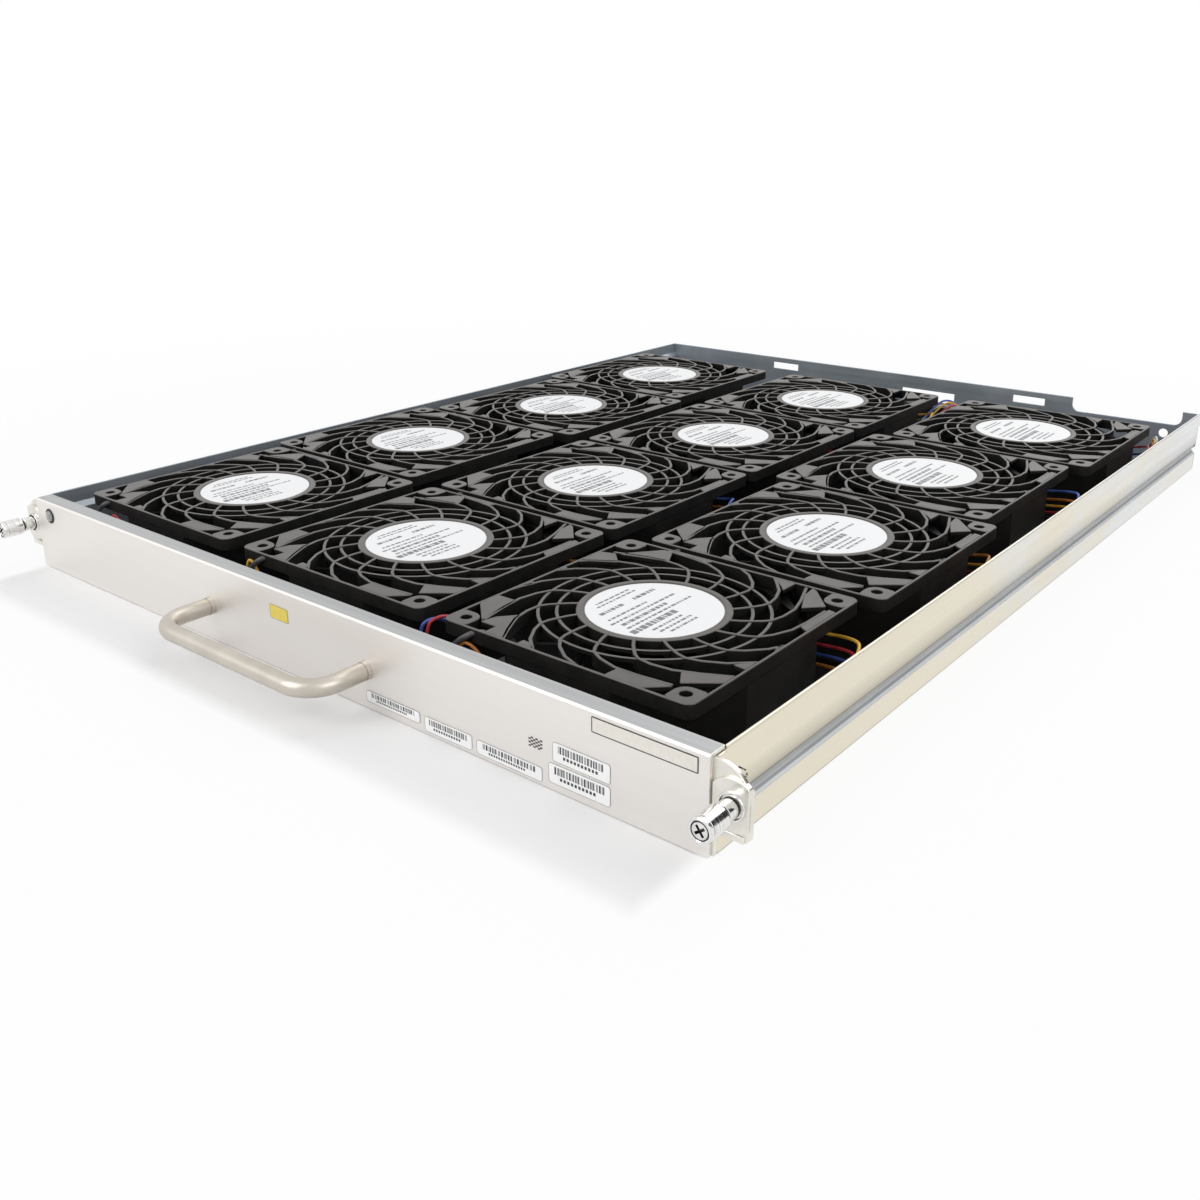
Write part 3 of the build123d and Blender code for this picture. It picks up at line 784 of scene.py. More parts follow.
# Faces in the ferrule's gap are painted near black as shade.
for facet in ferrule_pair.data.polygons:
    side_x = x if facet.center.x > 0 else -x
    off_axis = Vector((facet.center.x - side_x, facet.center.z - z)).length
    depth = ear_front - facet.center.y
    in_gap = ferrule_gap_radii[0] < off_axis < ferrule_gap_radii[1]
    if in_gap and ferrule_gap_reach[0] < depth < ferrule_gap_reach[1]:
        facet.material_index = 1
stand_for(ferrule_pair, "chassis", "bright_screw", "screw_ferrules")

# Status lamp: a smoked, domed plastic lens in a black ring that lies almost flush. It is pushed
# through a hole in the panel's upper left corner.
ring_radius = 4.0 * MM
lens_radius = 2.9 * MM
ring_dark = (0.02, 0.02, 0.02, 1)
ring_light = (0.045, 0.043, 0.04, 1)
smoke_dark = (0.22, 0.22, 0.215, 1)
smoke_light = (0.34, 0.34, 0.33, 1)
smoke_gloss = (0.04, 0.1)
ring_lift = 0.35 * MM
ring_break = 0.2 * MM
ring_lip = 0.15 * MM
ring_seat = 0.5 * MM
lens_gap = 0.1 * MM
lens_seat = 0.4 * MM
lens_shoulder = 0.3 * MM
# Share of the lens's radius and height in millimetres
lens_dome = ((0.9, 0.05), (0.76, 0.35), (0.5, 0.58), (0.2, 0.68))
lamp_low, lamp_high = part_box("status_lamp")
lamp_x = (lamp_low.x + lamp_high.x) / 2
lamp_z = (lamp_low.z + lamp_high.z) / 2
lamp_face = lamp_low.y
stations = [
    (lens_radius, lamp_high.y),
    (lens_radius, panel_front),
    (ring_radius, panel_front),
    (ring_radius, panel_front - ring_break),
    (ring_radius - ring_break, panel_front - ring_lift),
    (lens_radius + ring_lip, panel_front - ring_lift),
    (lens_radius, panel_front - ring_break),
    (lens_radius, panel_front + ring_seat),
]
lamp_ring = turned("lamp_ring", lamp_x, lamp_z, stations)
stations = [
    (lens_radius - lens_gap, panel_front + lens_seat),
    (lens_radius - lens_gap, lamp_face + lens_shoulder),
]
stations += [(lens_radius * share, lamp_face - height * MM) for share, height in lens_dome]
lamp_lens = turned("lamp_lens", lamp_x, lamp_z, stations)
lamp_black = mottled("lamp_ring_black", 0.6, 0.3, 2 * MM, ring_dark, ring_light)
lamp_smoke = mottled("smoked_lens", 0.0, 0.06, 3 * MM, smoke_dark, smoke_light, smoke_gloss)
shader_of(lamp_smoke).inputs["Coat Weight"].default_value = 1.0
dress(lamp_ring, lamp_black)
dress(lamp_lens, lamp_smoke)
stand_for(lamp_ring, "chassis", "lamp", "status_lamp")
stand_for(lamp_lens, "chassis", "lamp")

# Stickers: thin film labels on the panel's face, a blank yellow one, white ones with plain stripes and
# dashes, and an empty outlined field. They are stuck on by hand, not quite level. The thin dark line
# round the yellow and white ones is a painted shadow of their edges.
film = 0.12 * MM
ink_lift = 0.03 * MM
film_corner = 1.2 * MM
yellow_corner = 0.5 * MM
field_corner = 0.4 * MM
shadow_line_width = 0.18 * MM
film_size = 2 * MM
film_gloss = (0.3, 0.42)
white_dark = (0.94, 0.94, 0.935, 1)
white_light = (0.97, 0.97, 0.96, 1)
# Warm dark grey of the painted shadow line round each sticker
shadow_line_dark = (0.2, 0.185, 0.16, 1)
shadow_line_light = (0.4, 0.38, 0.35, 1)
yellow_dark = (0.79, 0.62, 0.085, 1)
yellow_light = (0.85, 0.69, 0.12, 1)
cream_dark = (0.8, 0.76, 0.69, 1)
cream_light = (0.85, 0.81, 0.74, 1)
ink_dark = (0.02, 0.02, 0.022, 1)
ink_light = (0.06, 0.06, 0.062, 1)
# Left, right, low and high on the face in millimetres, and a tilt in degrees
white_stickers = (
    (48.3, 79.7, 3.2, 8.3, 0.0),
    (82.3, 108.0, 1.4, 7.9, -0.3),
    (110.4, 143.1, 1.4, 7.3, 0.4),
    (148.2, 174.2, 11.9, 19.6, 0.3),
    (146.2, 174.2, 3.0, 11.0, -0.2),
)
yellow_sticker = (-12.7, -0.4, 23.4, 29.8, 0.5)
empty_field = (166.0, 209.8, 29.3, 35.3, 0.0)
field_line = 0.4 * MM
code_square = (136.8, 143.4, 13.9, 18.0)
code_cells = 6
bar_rhythm = (1, 2, 1, 1, 3, 1, 2, 2)
gap_beat = 3
# Shares of a sticker's half width or half height
bar_share = 0.0185
bar_zone = (-0.8, 0.78)
bar_heights = (-0.02, 0.72)
dash_zone = (-0.62, 0.5)
dash_heights = (-0.5, -0.2)
dash_length = 0.26
dash_pitch = 0.42


def rounded_corners(half_width, half_height, corner, steps=4):
    """Corners of a rectangle with rounded corners."""
    points = []
    for quarter, (sx, sy) in enumerate(((1, 1), (-1, 1), (-1, -1), (1, -1))):
        for step in range(steps + 1):
            turn = pi / 2 * (quarter + step / steps)
            across = sx * (half_width - corner) + corner * cos(turn)
            points.append((across, sy * (half_height - corner) + corner * sin(turn)))
    return points


def hollow_plate(outline, wall, top, depth):
    """Flat frame of an outline with an open middle, pulled down to its depth."""
    plate = flat_outline(outline, top)
    bpy.ops.mesh.inset(thickness=wall)
    bpy.ops.mesh.delete(type="FACE")
    bpy.ops.mesh.select_all(action="SELECT")
    pull((0, 0, -depth))
    bpy.ops.object.mode_set(mode="OBJECT")
    return plate


def stick_on(piece, name, place, material):
    """Stands a flat piece up on the panel's face, turned a little about its middle."""
    left, right, low, high, tilt = place
    middle = Vector(((left + right) / 2 * MM, panel_front, (low + high) / 2 * MM))
    turn = Matrix.Rotation(radians(tilt), 4, "Y") @ Matrix.Rotation(pi / 2, 4, "X")
    bpy.context.view_layer.objects.active = piece
    piece.data.transform(Matrix.Translation(middle) @ turn)
    finished = settle(name)
    dress(finished, material)
    stand_for(finished, "chassis", "panel")


def half_sizes(place):
    """Half the width and half the height of a sticker."""
    return (place[1] - place[0]) / 2 * MM, (place[3] - place[2]) / 2 * MM


def stick_film(names, place, corner, rim, materials):
    """Film with rounded corners and a thin line round its edge, which are two pieces. The line is a painted
    edge shadow on the stickers and a printed outline on the name field.
    """
    outline = rounded_corners(*half_sizes(place), corner)
    stick_on(cut_plate(outline, film, film), names[0], place, materials[0])
    stick_on(hollow_plate(outline, rim, film + ink_lift, film), names[1], place, materials[1])


def printed_bar(left, width, heights, half_height):
    """Printed bar on a film, between two shares of its half height."""
    low = (left, half_height * heights[0], film / 2)
    return block(low, (left + width, half_height * heights[1], film + ink_lift))


sticker_white = mottled("sticker_film", 0.0, 0.35, film_size, white_dark, white_light, film_gloss)
sticker_edge_shadow = mottled("sticker_edge_shadow", 0.0, 0.5, 5 * MM, shadow_line_dark, shadow_line_light)
sticker_yellow = mottled("yellow_film", 0.0, 0.35, film_size, yellow_dark, yellow_light, film_gloss)
field_cream = mottled("cream_film", 0.0, 0.4, film_size, cream_dark, cream_light)
sticker_ink = mottled("sticker_ink", 0.0, 0.5, 0.6 * MM, ink_dark, ink_light)
for number, place in enumerate(white_stickers):
    names = (f"white_sticker_{number + 1}", f"white_sticker_edge_{number + 1}")
    stick_film(names, place, film_corner, shadow_line_width, (sticker_white, sticker_edge_shadow))
    half_width, half_height = half_sizes(place)
    marks = []
    bar_unit = half_width * bar_share
    bar_x = half_width * bar_zone[0]
    beat = number
    while bar_x < half_width * bar_zone[1]:
        bar_width = bar_rhythm[beat % len(bar_rhythm)] * bar_unit
        marks.append(printed_bar(bar_x, bar_width, bar_heights, half_height))
        bar_x += bar_width + bar_rhythm[(beat + gap_beat) % len(bar_rhythm)] * bar_unit
        beat += 1
    dash_x = half_width * dash_zone[0]
    while dash_x < half_width * dash_zone[1]:
        marks.append(printed_bar(dash_x, half_height * dash_length, dash_heights, half_height))
        dash_x += half_height * dash_pitch
    stick_on(join(marks), f"white_sticker_print_{number + 1}", place, sticker_ink)
yellow_names = ("yellow_sticker", "yellow_sticker_edge")
stick_film(yellow_names, yellow_sticker, yellow_corner, shadow_line_width, (sticker_yellow, sticker_edge_shadow))
field_names = ("name_field", "name_field_line")
stick_film(field_names, empty_field, field_corner, field_line, (field_cream, sticker_ink))
cell = (code_square[1] - code_square[0]) / code_cells * MM
cell_height = (code_square[3] - code_square[2]) / code_cells * MM
cells = []
for row in range(code_cells):
    for column in range(row % 2, code_cells, 2):
        cell_x = (column - code_cells / 2) * cell
        cell_y = (row - code_cells / 2) * cell_height
        cells.append(block((cell_x, cell_y, -film), (cell_x + cell, cell_y + cell_height, ink_lift)))
stick_on(join(cells), "code_square", (*code_square, 0), sticker_ink)

# Fan bodies: black glass-filled plastic, moulded with a fine grain. Housing and impeller are plain,
# and stand on the floor under the guards.
black_low = (0.009, 0.0085, 0.008, 1)
black_high = (0.016, 0.015, 0.014, 1)
black_gloss = (0.38, 0.52)
mould_grain = 0.5 * MM
mould_height = 0.03 * MM
fan_black = grained(
    "black_moulding", 0.0, 0.45, 9 * MM, black_low, black_high, mould_grain, black_gloss, mould_height
)
shader_of(fan_black).inputs["Specular IOR Level"].default_value = 0.2
fan_names = [name.removeprefix("fan_guard_") for name in nodes if name.startswith("fan_guard_")]
for name in fan_names:
    dress(nodes[f"fan_housing_{name}"], fan_black)
    dress(nodes[f"impeller_{name}"], fan_black)

# Fan guards: moulded grille over each fan, with a round motor base, swept vanes, a thin square rim
# and flat plates where the vanes run into it. The corners have screw holes in rounded bosses. Their
# upward faces are painted a lighter warm grey as a sheen.
guard_low, guard_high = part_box(f"fan_guard_{fan_names[0]}")
fan_top = guard_high.z
fan_half = (guard_high.x - guard_low.x) / 2
guard_depth = guard_high.z - guard_low.z
rim_width = 1.3 * MM
rim_corner = 4 * MM
vane_count = 17
vane_first_turn = 17
vane_half_width = 0.7 * MM
# Radius in millimetres and sweep in degrees
vane_stations = (
    (31.0, 0),
    (35.5, 1.6),
    (39.7, 3.5),
    (43.3, 5.0),
    (46.8, 7.2),
    (51, 13),
    (56, 21),
    (60.5, 30),
    (68, 41),
)
plate_depth = 2 * MM
hub_radius = 31.5 * MM
hub_lip = 2.6 * MM
hub_recess = 0.5 * MM
hub_sides = 72
boss_centre = 53 * MM
boss_inward = 5.4 * MM
boss_outward = 6.2 * MM
boss_diagonal = 10.6 * MM
boss_sides = 24
screw_hole = 2.4 * MM
edge_break = 0.25 * MM
# Lighter warm grey painted as a sheen on the guards' upward faces
painted_sheen_dark = (0.063, 0.055, 0.048, 1)
painted_sheen_light = (0.086, 0.077, 0.069, 1)
top_gloss = (0.28, 0.4)
top_height = 0.02 * MM
painted_sheen_tilt = 0.6
# Corners of each plate in millimetres from the fan's middle
rim_plates = (
    ((-37.5, 57.5), (-32.7, 57.5), (-27.3, 47.2), (-49.5, 40.8), (-48, 44.5)),
    ((-58.8, 38), (-51.7, 40.2), (-44, 32.2), (-55, 25.5), (-58.8, 21.5)),
    ((-34.5, 58.8), (-11.5, 58.8), (-13.5, 55.5), (-24, 56.8)),
    ((20.3, 58.8), (30.3, 58.8), (30, 49), (27.3, 52.2)),
    ((38.5, 58.8), (41.5, 57), (52.7, 44.5), (45.5, 37.2), (39.5, 50)),
    ((55, 42.5), (58.8, 41.5), (58.8, 18.2), (54.7, 20.8)),
    ((57, 0), (58.8, 2), (58.8, -6)),
    ((58.8, -16), (53, -23.8), (58.8, -24.5)),
    ((58.8, -32), (41.7, -40.2), (46.7, -47.8), (58.8, -38.3)),
    ((22.3, -52), (46.3, -51.5), (38.5, -58.8), (21.7, -58.8)),
    ((-20.5, -55), (-17, -55.2), (-11.7, -58.8), (-20.5, -58.8)),
    (
        (-37.7, -38),
        (-44, -45.5),
        (-45.5, -52.5),
        (-37.5, -52.5),
        (-37.5, -58.8),
        (-27.3, -58.8),
        (-34.5, -45),
    ),
    ((-58.8, -28.5), (-49.3, -28.2), (-48, -34.5), (-46.3, -51.2), (-58.8, -39.5)),
    ((-58.8, 14), (-55.7, 12), (-58.8, 8)),
    ((-58.8, -7.5), (-55.7, -10.5), (-58.8, -16)),
)


def circle_points(radius, sides):
    """Corners of a regular polygon."""
    return [(radius * cos(2 * pi * i / sides), radius * sin(2 * pi * i / sides)) for i in range(sides)]


def vane_outline():
    """One vane from the motor base to past the rim, seen from above."""
    middle = []
    for radius, sweep in vane_stations:
        turn = radians(vane_first_turn + sweep)
        middle.append(Vector((radius * MM * cos(turn), radius * MM * sin(turn))))
    left, right = [], []
    for i, point in enumerate(middle):
        along = (middle[min(i + 1, len(middle) - 1)] - middle[max(i - 1, 0)]).normalized()
        across = Vector((-along.y, along.x)) * vane_half_width
        left.append(tuple(point + across))
        right.append(tuple(point - across))
    return right + left[::-1]


def boss_edge(out, sx, sy):
    """How far a boss reaches along a direction: round towards the fan, square into the rim's corner."""
    if out.x * sx <= 0 and out.y * sy <= 0:
        return boss_inward / out.length
    reach = boss_diagonal / (abs(out.x) + abs(out.y))
    for part, sign in ((out.x, sx), (out.y, sy)):
        if abs(part) > 0.01 * MM:
            reach = min(reach, (boss_outward if part * sign > 0 else boss_inward) / abs(part))
    return reach


def fan_centre(name):
    """Middle of a fan seen from above."""
    low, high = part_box(f"fan_guard_{name}")
    return Vector(((low.x + high.x) / 2, (low.y + high.y) / 2, 0))


def copy_to(pattern, name, place):
    """Copy of a piece with its own mesh, moved in the mesh."""
    copy = pattern.copy()
    copy.data = pattern.data.copy()
    copy.data.transform(Matrix.Translation(place))
    copy.name = name
    copy.data.name = name
    bpy.context.collection.objects.link(copy)
    return copy


rim_outline = rounded_corners(fan_half, fan_half, rim_corner)
guard_pieces = [hollow_plate(rim_outline, rim_width, fan_top, guard_depth)]
vanes = cut_plate(vane_outline(), fan_top, guard_depth)
bpy.ops.object.mode_set(mode="EDIT")
bpy.ops.mesh.select_all(action="SELECT")
vane_sweep = 2 * pi * (vane_count - 1) / vane_count
bpy.ops.mesh.spin(steps=vane_count - 1, angle=vane_sweep, dupli=True, center=(0, 0, 0), axis=(0, 0, 1))
for normal in ((1, 0, 0), (-1, 0, 0), (0, 1, 0), (0, -1, 0)):
    bpy.ops.mesh.select_all(action="SELECT")
    edge = Vector(normal) * (fan_half - rim_width)
    bpy.ops.mesh.bisect(plane_co=edge, plane_no=normal, use_fill=True, clear_outer=True)
bpy.ops.object.mode_set(mode="OBJECT")
guard_pieces.append(vanes)
for outline in rim_plates:
    guard_pieces.append(cut_plate([(x * MM, y * MM) for x, y in outline], fan_top, plate_depth))
hub = cut_plate(circle_points(hub_radius, hub_sides), fan_top, guard_depth)
bpy.ops.object.mode_set(mode="EDIT")
bpy.ops.mesh.select_all(action="DESELECT")
bpy.ops.object.mode_set(mode="OBJECT")
for face in hub.data.polygons:
    face.select = len(face.vertices) > 4 and face.center.z > fan_top - guard_depth / 2
bpy.ops.object.mode_set(mode="EDIT")
bpy.ops.mesh.inset(thickness=hub_lip)
pull((0, 0, -hub_recess))
bpy.ops.object.mode_set(mode="OBJECT")
guard_pieces.append(hub)
for sx, sy in ((1, 1), (-1, 1), (-1, -1), (1, -1)):
    centre = Vector((sx * boss_centre, sy * boss_centre, fan_top))
    begin()
    bpy.ops.mesh.primitive_circle_add(vertices=boss_sides, radius=screw_hole, location=centre)
    boss = bpy.context.object
    bpy.ops.object.transform_apply(location=True, rotation=True, scale=True)
    bpy.ops.object.mode_set(mode="EDIT")
    bpy.ops.mesh.select_all(action="SELECT")
    pull((0, 0, 0))
    bpy.ops.object.mode_set(mode="OBJECT")
    for vertex in boss.data.vertices:
        if vertex.select:
            out = vertex.co - centre
            vertex.co = centre + out * boss_edge(out, sx, sy)
    bpy.ops.object.mode_set(mode="EDIT")
    bpy.ops.mesh.select_all(action="SELECT")
    pull((0, 0, -guard_depth))
    bpy.ops.object.mode_set(mode="OBJECT")
    guard_pieces.append(boss)
round_edges(join(guard_pieces), edge_break, segments=1, sharp=50)
guard_pattern = settle("guard_pattern", smooth_angle=30)
painted_sheen_top = grained(
    "guard_top_painted_sheen", 0.0, 0.34, 12 * MM, painted_sheen_dark, painted_sheen_light, mould_grain, top_gloss, top_height
)
shader_of(painted_sheen_top).inputs["Specular IOR Level"].default_value = 0.6
# Upward faces take the lighter warm grey as a painted sheen.
two_faced(guard_pattern, fan_black, painted_sheen_top, painted_sheen_tilt)
for name in fan_names:
    guard = copy_to(guard_pattern, f"grille_{name}", fan_centre(name))
    stand_for(guard, "chassis", "fan_guard", f"fan_guard_{name}")
bpy.data.objects.remove(guard_pattern)

# Guard rings: two thin rings across the vanes of each guard, just under their top edges. They are
# of the guard's black plastic and are moulded in one with it. Their tops take the same painted sheen.
ring_radii = (39.2 * MM, 46.7 * MM)
ring_half_width = 0.65 * MM
ring_drop = 0.4 * MM
ring_depth = 1.6 * MM
ring_sides = 68
rings = []
for radius in ring_radii:
    outline = circle_points(radius + ring_half_width, ring_sides)
    rings.append(hollow_plate(outline, 2 * ring_half_width, fan_top - ring_drop, ring_depth))
join(rings)
ring_pattern = settle("ring_pattern")
ring_copies = [copy_to(ring_pattern, f"rings_{name}", fan_centre(name)) for name in fan_names]
bpy.data.objects.remove(ring_pattern)
join(ring_copies)
all_rings = settle("grille_rings")
# The rings' upward faces take the painted sheen as well.
two_faced(all_rings, fan_black, painted_sheen_top, painted_sheen_tilt)
stand_for(all_rings, "chassis", "fan_guard", "guard_rings")

# Fan labels: round white paper stickers in a shallow recess of each motor base, printed with rows
# of small grey type that is shown as plain dashes.
label_radius = 28 * MM
label_thickness = 0.2 * MM
label_top = fan_top - hub_recess + label_thickness
paper_dark = (0.86, 0.86, 0.86, 1)
paper_light = (0.9, 0.9, 0.9, 1)
paper_gloss = (0.38, 0.5)
print_dark = (0.16, 0.16, 0.17, 1)
print_light = (0.26, 0.26, 0.27, 1)
print_lift = 0.03 * MM
print_gap = 0.7
print_lengths = (0.8, 3.2)
# Place of a row, half its height, its start and its end, in millimetres
print_rows = (
    (-21, 0.5, -11, 10),
    (-18.5, 0.5, -13, 11),
    (-13, 1.0, 4, 17),
    (-13, 1.0, -18, -4),
    (-7, 0.6, -20, 4),
    (-3.5, 0.6, -22, 18),
    (0, 1.0, -19, 8),
    (3.5, 0.6, -22, 20),
    (7.5, 1.6, -22, 4),
    (12, 0.6, -16, 2),
    (15, 0.6, -17, 4),
    (18, 0.6, -14, 4),
)
label_paper = mottled("label_paper", 0.0, 0.45, 0.8 * MM, paper_dark, paper_light, paper_gloss)
label_ink = mottled("label_ink", 0.0, 0.5, 0.6 * MM, print_dark, print_light)
cut_plate(circle_points(label_radius, hub_sides), label_top, label_thickness)
label_pattern = settle("label_pattern")
dress(label_pattern, label_paper)
dice = Random(5)
dashes = []
for row_x, half_height, start, end in print_rows:
    y = end
    while y > start:
        length = dice.uniform(*print_lengths)
        low = Vector(((row_x - half_height) * MM, (y - length) * MM, label_top - print_lift))
        high = Vector(((row_x + half_height) * MM, y * MM, label_top + print_lift))
        dashes.append(block(low, high))
        y -= length + print_gap
join(dashes)
print_pattern = settle("print_pattern")
dress(print_pattern, label_ink)
for name in fan_names:
    label = copy_to(label_pattern, f"label_{name}", fan_centre(name))
    marks = copy_to(print_pattern, f"label_print_{name}", fan_centre(name))
    for piece in (label, marks):
        stand_for(piece, "chassis", "fan_guard")
bpy.data.objects.remove(label_pattern)
bpy.data.objects.remove(print_pattern)

# Fan leads: four insulated wires from each fan's waist to the loom beside its column, and a grey
# sleeve that leaves the front left corner of each guard and drops to the floor.
wire_radius = 0.7 * MM
sleeve_radius = 1.2 * MM
loom_low, loom_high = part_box("wiring_looms")
loom_top = loom_high.z
lane_inset = 2.2 * MM
lane_x = {"left": loom_low.x + lane_inset, "right": loom_high.x - lane_inset, "middle": 66.5 * MM}
wire_colours = {
    "yellow": ((0.66, 0.36, 0.03, 1), (0.74, 0.44, 0.06, 1)),
    "red": ((0.4, 0.02, 0.035, 1), (0.5, 0.04, 0.055, 1)),
    "blue": ((0.03, 0.07, 0.3, 1), (0.06, 0.12, 0.42, 1)),
    "orange": ((0.4, 0.14, 0.02, 1), (0.5, 0.19, 0.035, 1)),
    "grey": ((0.05, 0.05, 0.053, 1), (0.09, 0.09, 0.094, 1)),
    "white": ((0.66, 0.65, 0.62, 1), (0.76, 0.75, 0.72, 1)),
}
wire_gloss = (0.34, 0.46)
wire_order = ("yellow", "red", "blue", "orange")
first_wire = 2
wire_heights = (27.0, 23.0, 20.0, 17.0)
wire_start = 45
wire_step = 3
wire_rise = 6
sleeve_gap = 2.2 * MM
# Colour and guiding points in millimetres, from the fan's middle here and from the tray's below
front_leads = {
    "row1_left": (("red", (-28, -60.8, 27), (-33, -62, 34), (-38, -62.5, 31), (-40, -62.5, 3)),),
    "row1_middle": (("yellow", (-45, -60.8, 27), (-48, -61.6, 36), (-53, -63, 35), (-56, -63, 3)),),
    "row1_right": (
        ("orange", (-36, -60.8, 28), (-41, -61.2, 34), (-50, -62, 33), (-57, -62.5, 3)),
        ("blue", (-62, -46, 24), (-64, -52, 35), (-68, -59, 37), (-71, -63, 32), (-71, -63, 3)),
        ("red", (-61, -44, 24), (-62, -50, 36), (-65, -57, 38), (-68, -62, 34), (-69, -63, 3)),
    ),
}
rear_arcs = (
    ("blue", (50, 242, 20), (54, 254, 31), (59, 263, 34), (66, 272, 27), (68, 276, 10)),
    ("yellow", (52, 241, 18), (57, 253, 30), (62, 262, 33), (69, 271, 25), (70, 276, 10)),
    ("red", (54, 240, 16), (61, 252, 29), (67, 261, 32), (73, 270, 24), (73, 276, 10)),
    ("white", (49, 243, 20), (52, 252, 27), (56, 261, 30), (63, 273, 24), (66, 277, 10)),
    ("red", (205.5, 226, 12), (206, 236, 26), (204, 245, 30), (199, 256, 24), (196, 268, 8)),
    ("yellow", (205.5, 228, 13), (206, 239, 28), (204, 248, 32), (199, 259, 25), (192, 272, 8)),
    ("blue", (206.5, 232, 12), (208, 244, 26), (206, 254, 30), (201, 266, 22), (188, 280, 8)),
    ("white", (205.5, 230, 12), (207, 242, 29), (204, 251, 33), (198, 262, 25), (190, 275, 8)),
)


def wire(points, radius):
    """Round wire along a smooth line that its guiding points lead."""
    begin()
    curve = bpy.data.curves.new("wire", "CURVE")
    curve.dimensions = "3D"
    curve.bevel_depth = radius
    curve.bevel_resolution = 3
    curve.resolution_u = 8
    curve.use_fill_caps = True
    spline = curve.splines.new("NURBS")
    spline.points.add(len(points) - 1)
    for knot, place in zip(spline.points, points):
        knot.co = (*place, 1)
    spline.order_u = 3
    spline.use_endpoint_u = True
    strand = bpy.data.objects.new("wire", curve)
    bpy.context.collection.objects.link(strand)
    strand.select_set(True)
    bpy.context.view_layer.objects.active = strand
    bpy.ops.object.convert(target="MESH")
    return bpy.context.object


strands = {colour: [] for colour in wire_colours}
for turn, name in enumerate(fan_names):
    centre = fan_centre(name)
    column = name.split("_")[1]
    outward = -1 if column == "left" else 1
    side_x = centre.x + outward * fan_half
    lane = lane_x[column]
    room = abs(lane - side_x)
    for number, height in enumerate(wire_heights):
        colour = wire_order[(number + turn + first_wire) % len(wire_order)]
        spot = centre.y + (wire_start - wire_step * number) * MM
        rise = (height + wire_rise) * MM
        route = [
            (side_x - outward * 14 * MM, spot + 2 * MM, (height - 1) * MM),
            (side_x - outward * 4 * MM, spot, (height + 1) * MM),
            (side_x + outward * room * 0.6, spot - 5 * MM, rise - 2 * MM),
            (lane + outward * 1.2 * MM, spot - 14 * MM, rise),
            (lane + outward * 0.6 * MM, spot - 25 * MM, (height - 3) * MM),
            (lane, spot - 34 * MM, loom_top + 2.5 * MM),
            (lane, spot - 48 * MM, loom_top),
        ]
        strands[colour].append(wire(route, wire_radius))
    gap_y = centre.y - fan_half - sleeve_gap
    route = [
        (centre.x - 41 * MM, centre.y - 55 * MM, fan_top - 3.0 * MM),
        (centre.x - 42 * MM, centre.y - 58.5 * MM, fan_top - 1.6 * MM),
        (centre.x - 44 * MM, gap_y, fan_top - 2.6 * MM),
        (centre.x - 51 * MM, gap_y, fan_top - 8 * MM),
        (centre.x - 57 * MM, gap_y, fan_top - 17 * MM),
        (centre.x - 59 * MM, gap_y, fan_top - 28 * MM),
        (centre.x - 59 * MM, gap_y, 3.2 * MM),
    ]
    strands["grey"].append(wire(route, sleeve_radius))
    for colour, *places in front_leads.get(name, ()):
        route = [centre + Vector(place) * MM for place in places]
        strands[colour].append(wire(route, wire_radius))
for colour, *places in rear_arcs:
    strands[colour].append(wire([Vector(place) * MM for place in places], wire_radius))
for colour, (dark, light) in wire_colours.items():
    join(strands[colour])
    leads = settle(f"{colour}_leads", smooth_angle=60)
    dress(leads, mottled(f"{colour}_insulation", 0.0, 0.4, 4 * MM, dark, light, wire_gloss))
    stand_for(leads, "chassis", "loom")

# Rear bay: controller board on standoffs, shrouded connector with two rows of pins, and sleeved
# wiring looms that end in nylon plugs.
board_dark = (0.012, 0.075, 0.035, 1)
board_light = (0.02, 0.11, 0.055, 1)
sleeve_dark = (0.015, 0.015, 0.016, 1)
sleeve_light = (0.04, 0.04, 0.042, 1)
nylon_dark = (0.62, 0.59, 0.5, 1)
nylon_light = (0.72, 0.69, 0.6, 1)
gold_dark = (0.7, 0.5, 0.2, 1)
gold_light = (0.8, 0.6, 0.27, 1)
dress(nodes["controller_board"], mottled("solder_mask", 0.0, 0.35, 4 * MM, board_dark, board_light))
dress(nodes["board_standoffs"], zinc_plate)
dress(nodes["rear_connector"], fan_black)
dress(nodes["wiring_looms"], mottled("loom_sleeve", 0.0, 0.6, 1.5 * MM, sleeve_dark, sleeve_light))
dress(nodes["loom_plugs"], mottled("plug_nylon", 0.0, 0.5, 3 * MM, nylon_dark, nylon_light))
board_low, board_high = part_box("controller_board")
socket_low, socket_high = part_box("rear_connector")
# Place along and across the board, then length, width and height or radius and height, in millimetres
chip_places = ((-52, 14, 12, 10, 1.6), (-30, 20, 8, 6, 1.4), (-68, 22, 7, 7, 2.4), (-12, 12, 5, 4, 1.2))
can_places = ((-80, 10, 3.2, 8), (-40, 30, 2.6, 6), (-60, 32, 2.6, 6), (58, 24, 3.2, 8))
chip_sink = 0.1 * MM
chip_edge = 0.2 * MM
can_edge = 0.4 * MM
can_sides = 24
pin_pitch = 2.6 * MM
pin_row = 1.4 * MM
pin_half = 0.3 * MM
pin_columns = 11
pin_depth = 7.5 * MM
pin_root = 1.5 * MM
pin_setback = 1 * MM
chips = []
for along, across, length, width, height in chip_places:
    corner = Vector((along * MM, board_low.y + across * MM, board_high.z - chip_sink))
    chips.append(block(corner, corner + Vector((length, width, height)) * MM))
    round_edges(bpy.context.object, chip_edge, segments=1)
join(chips)
board_chips = settle("board_chips")
dress(board_chips, fan_black)
cans = []
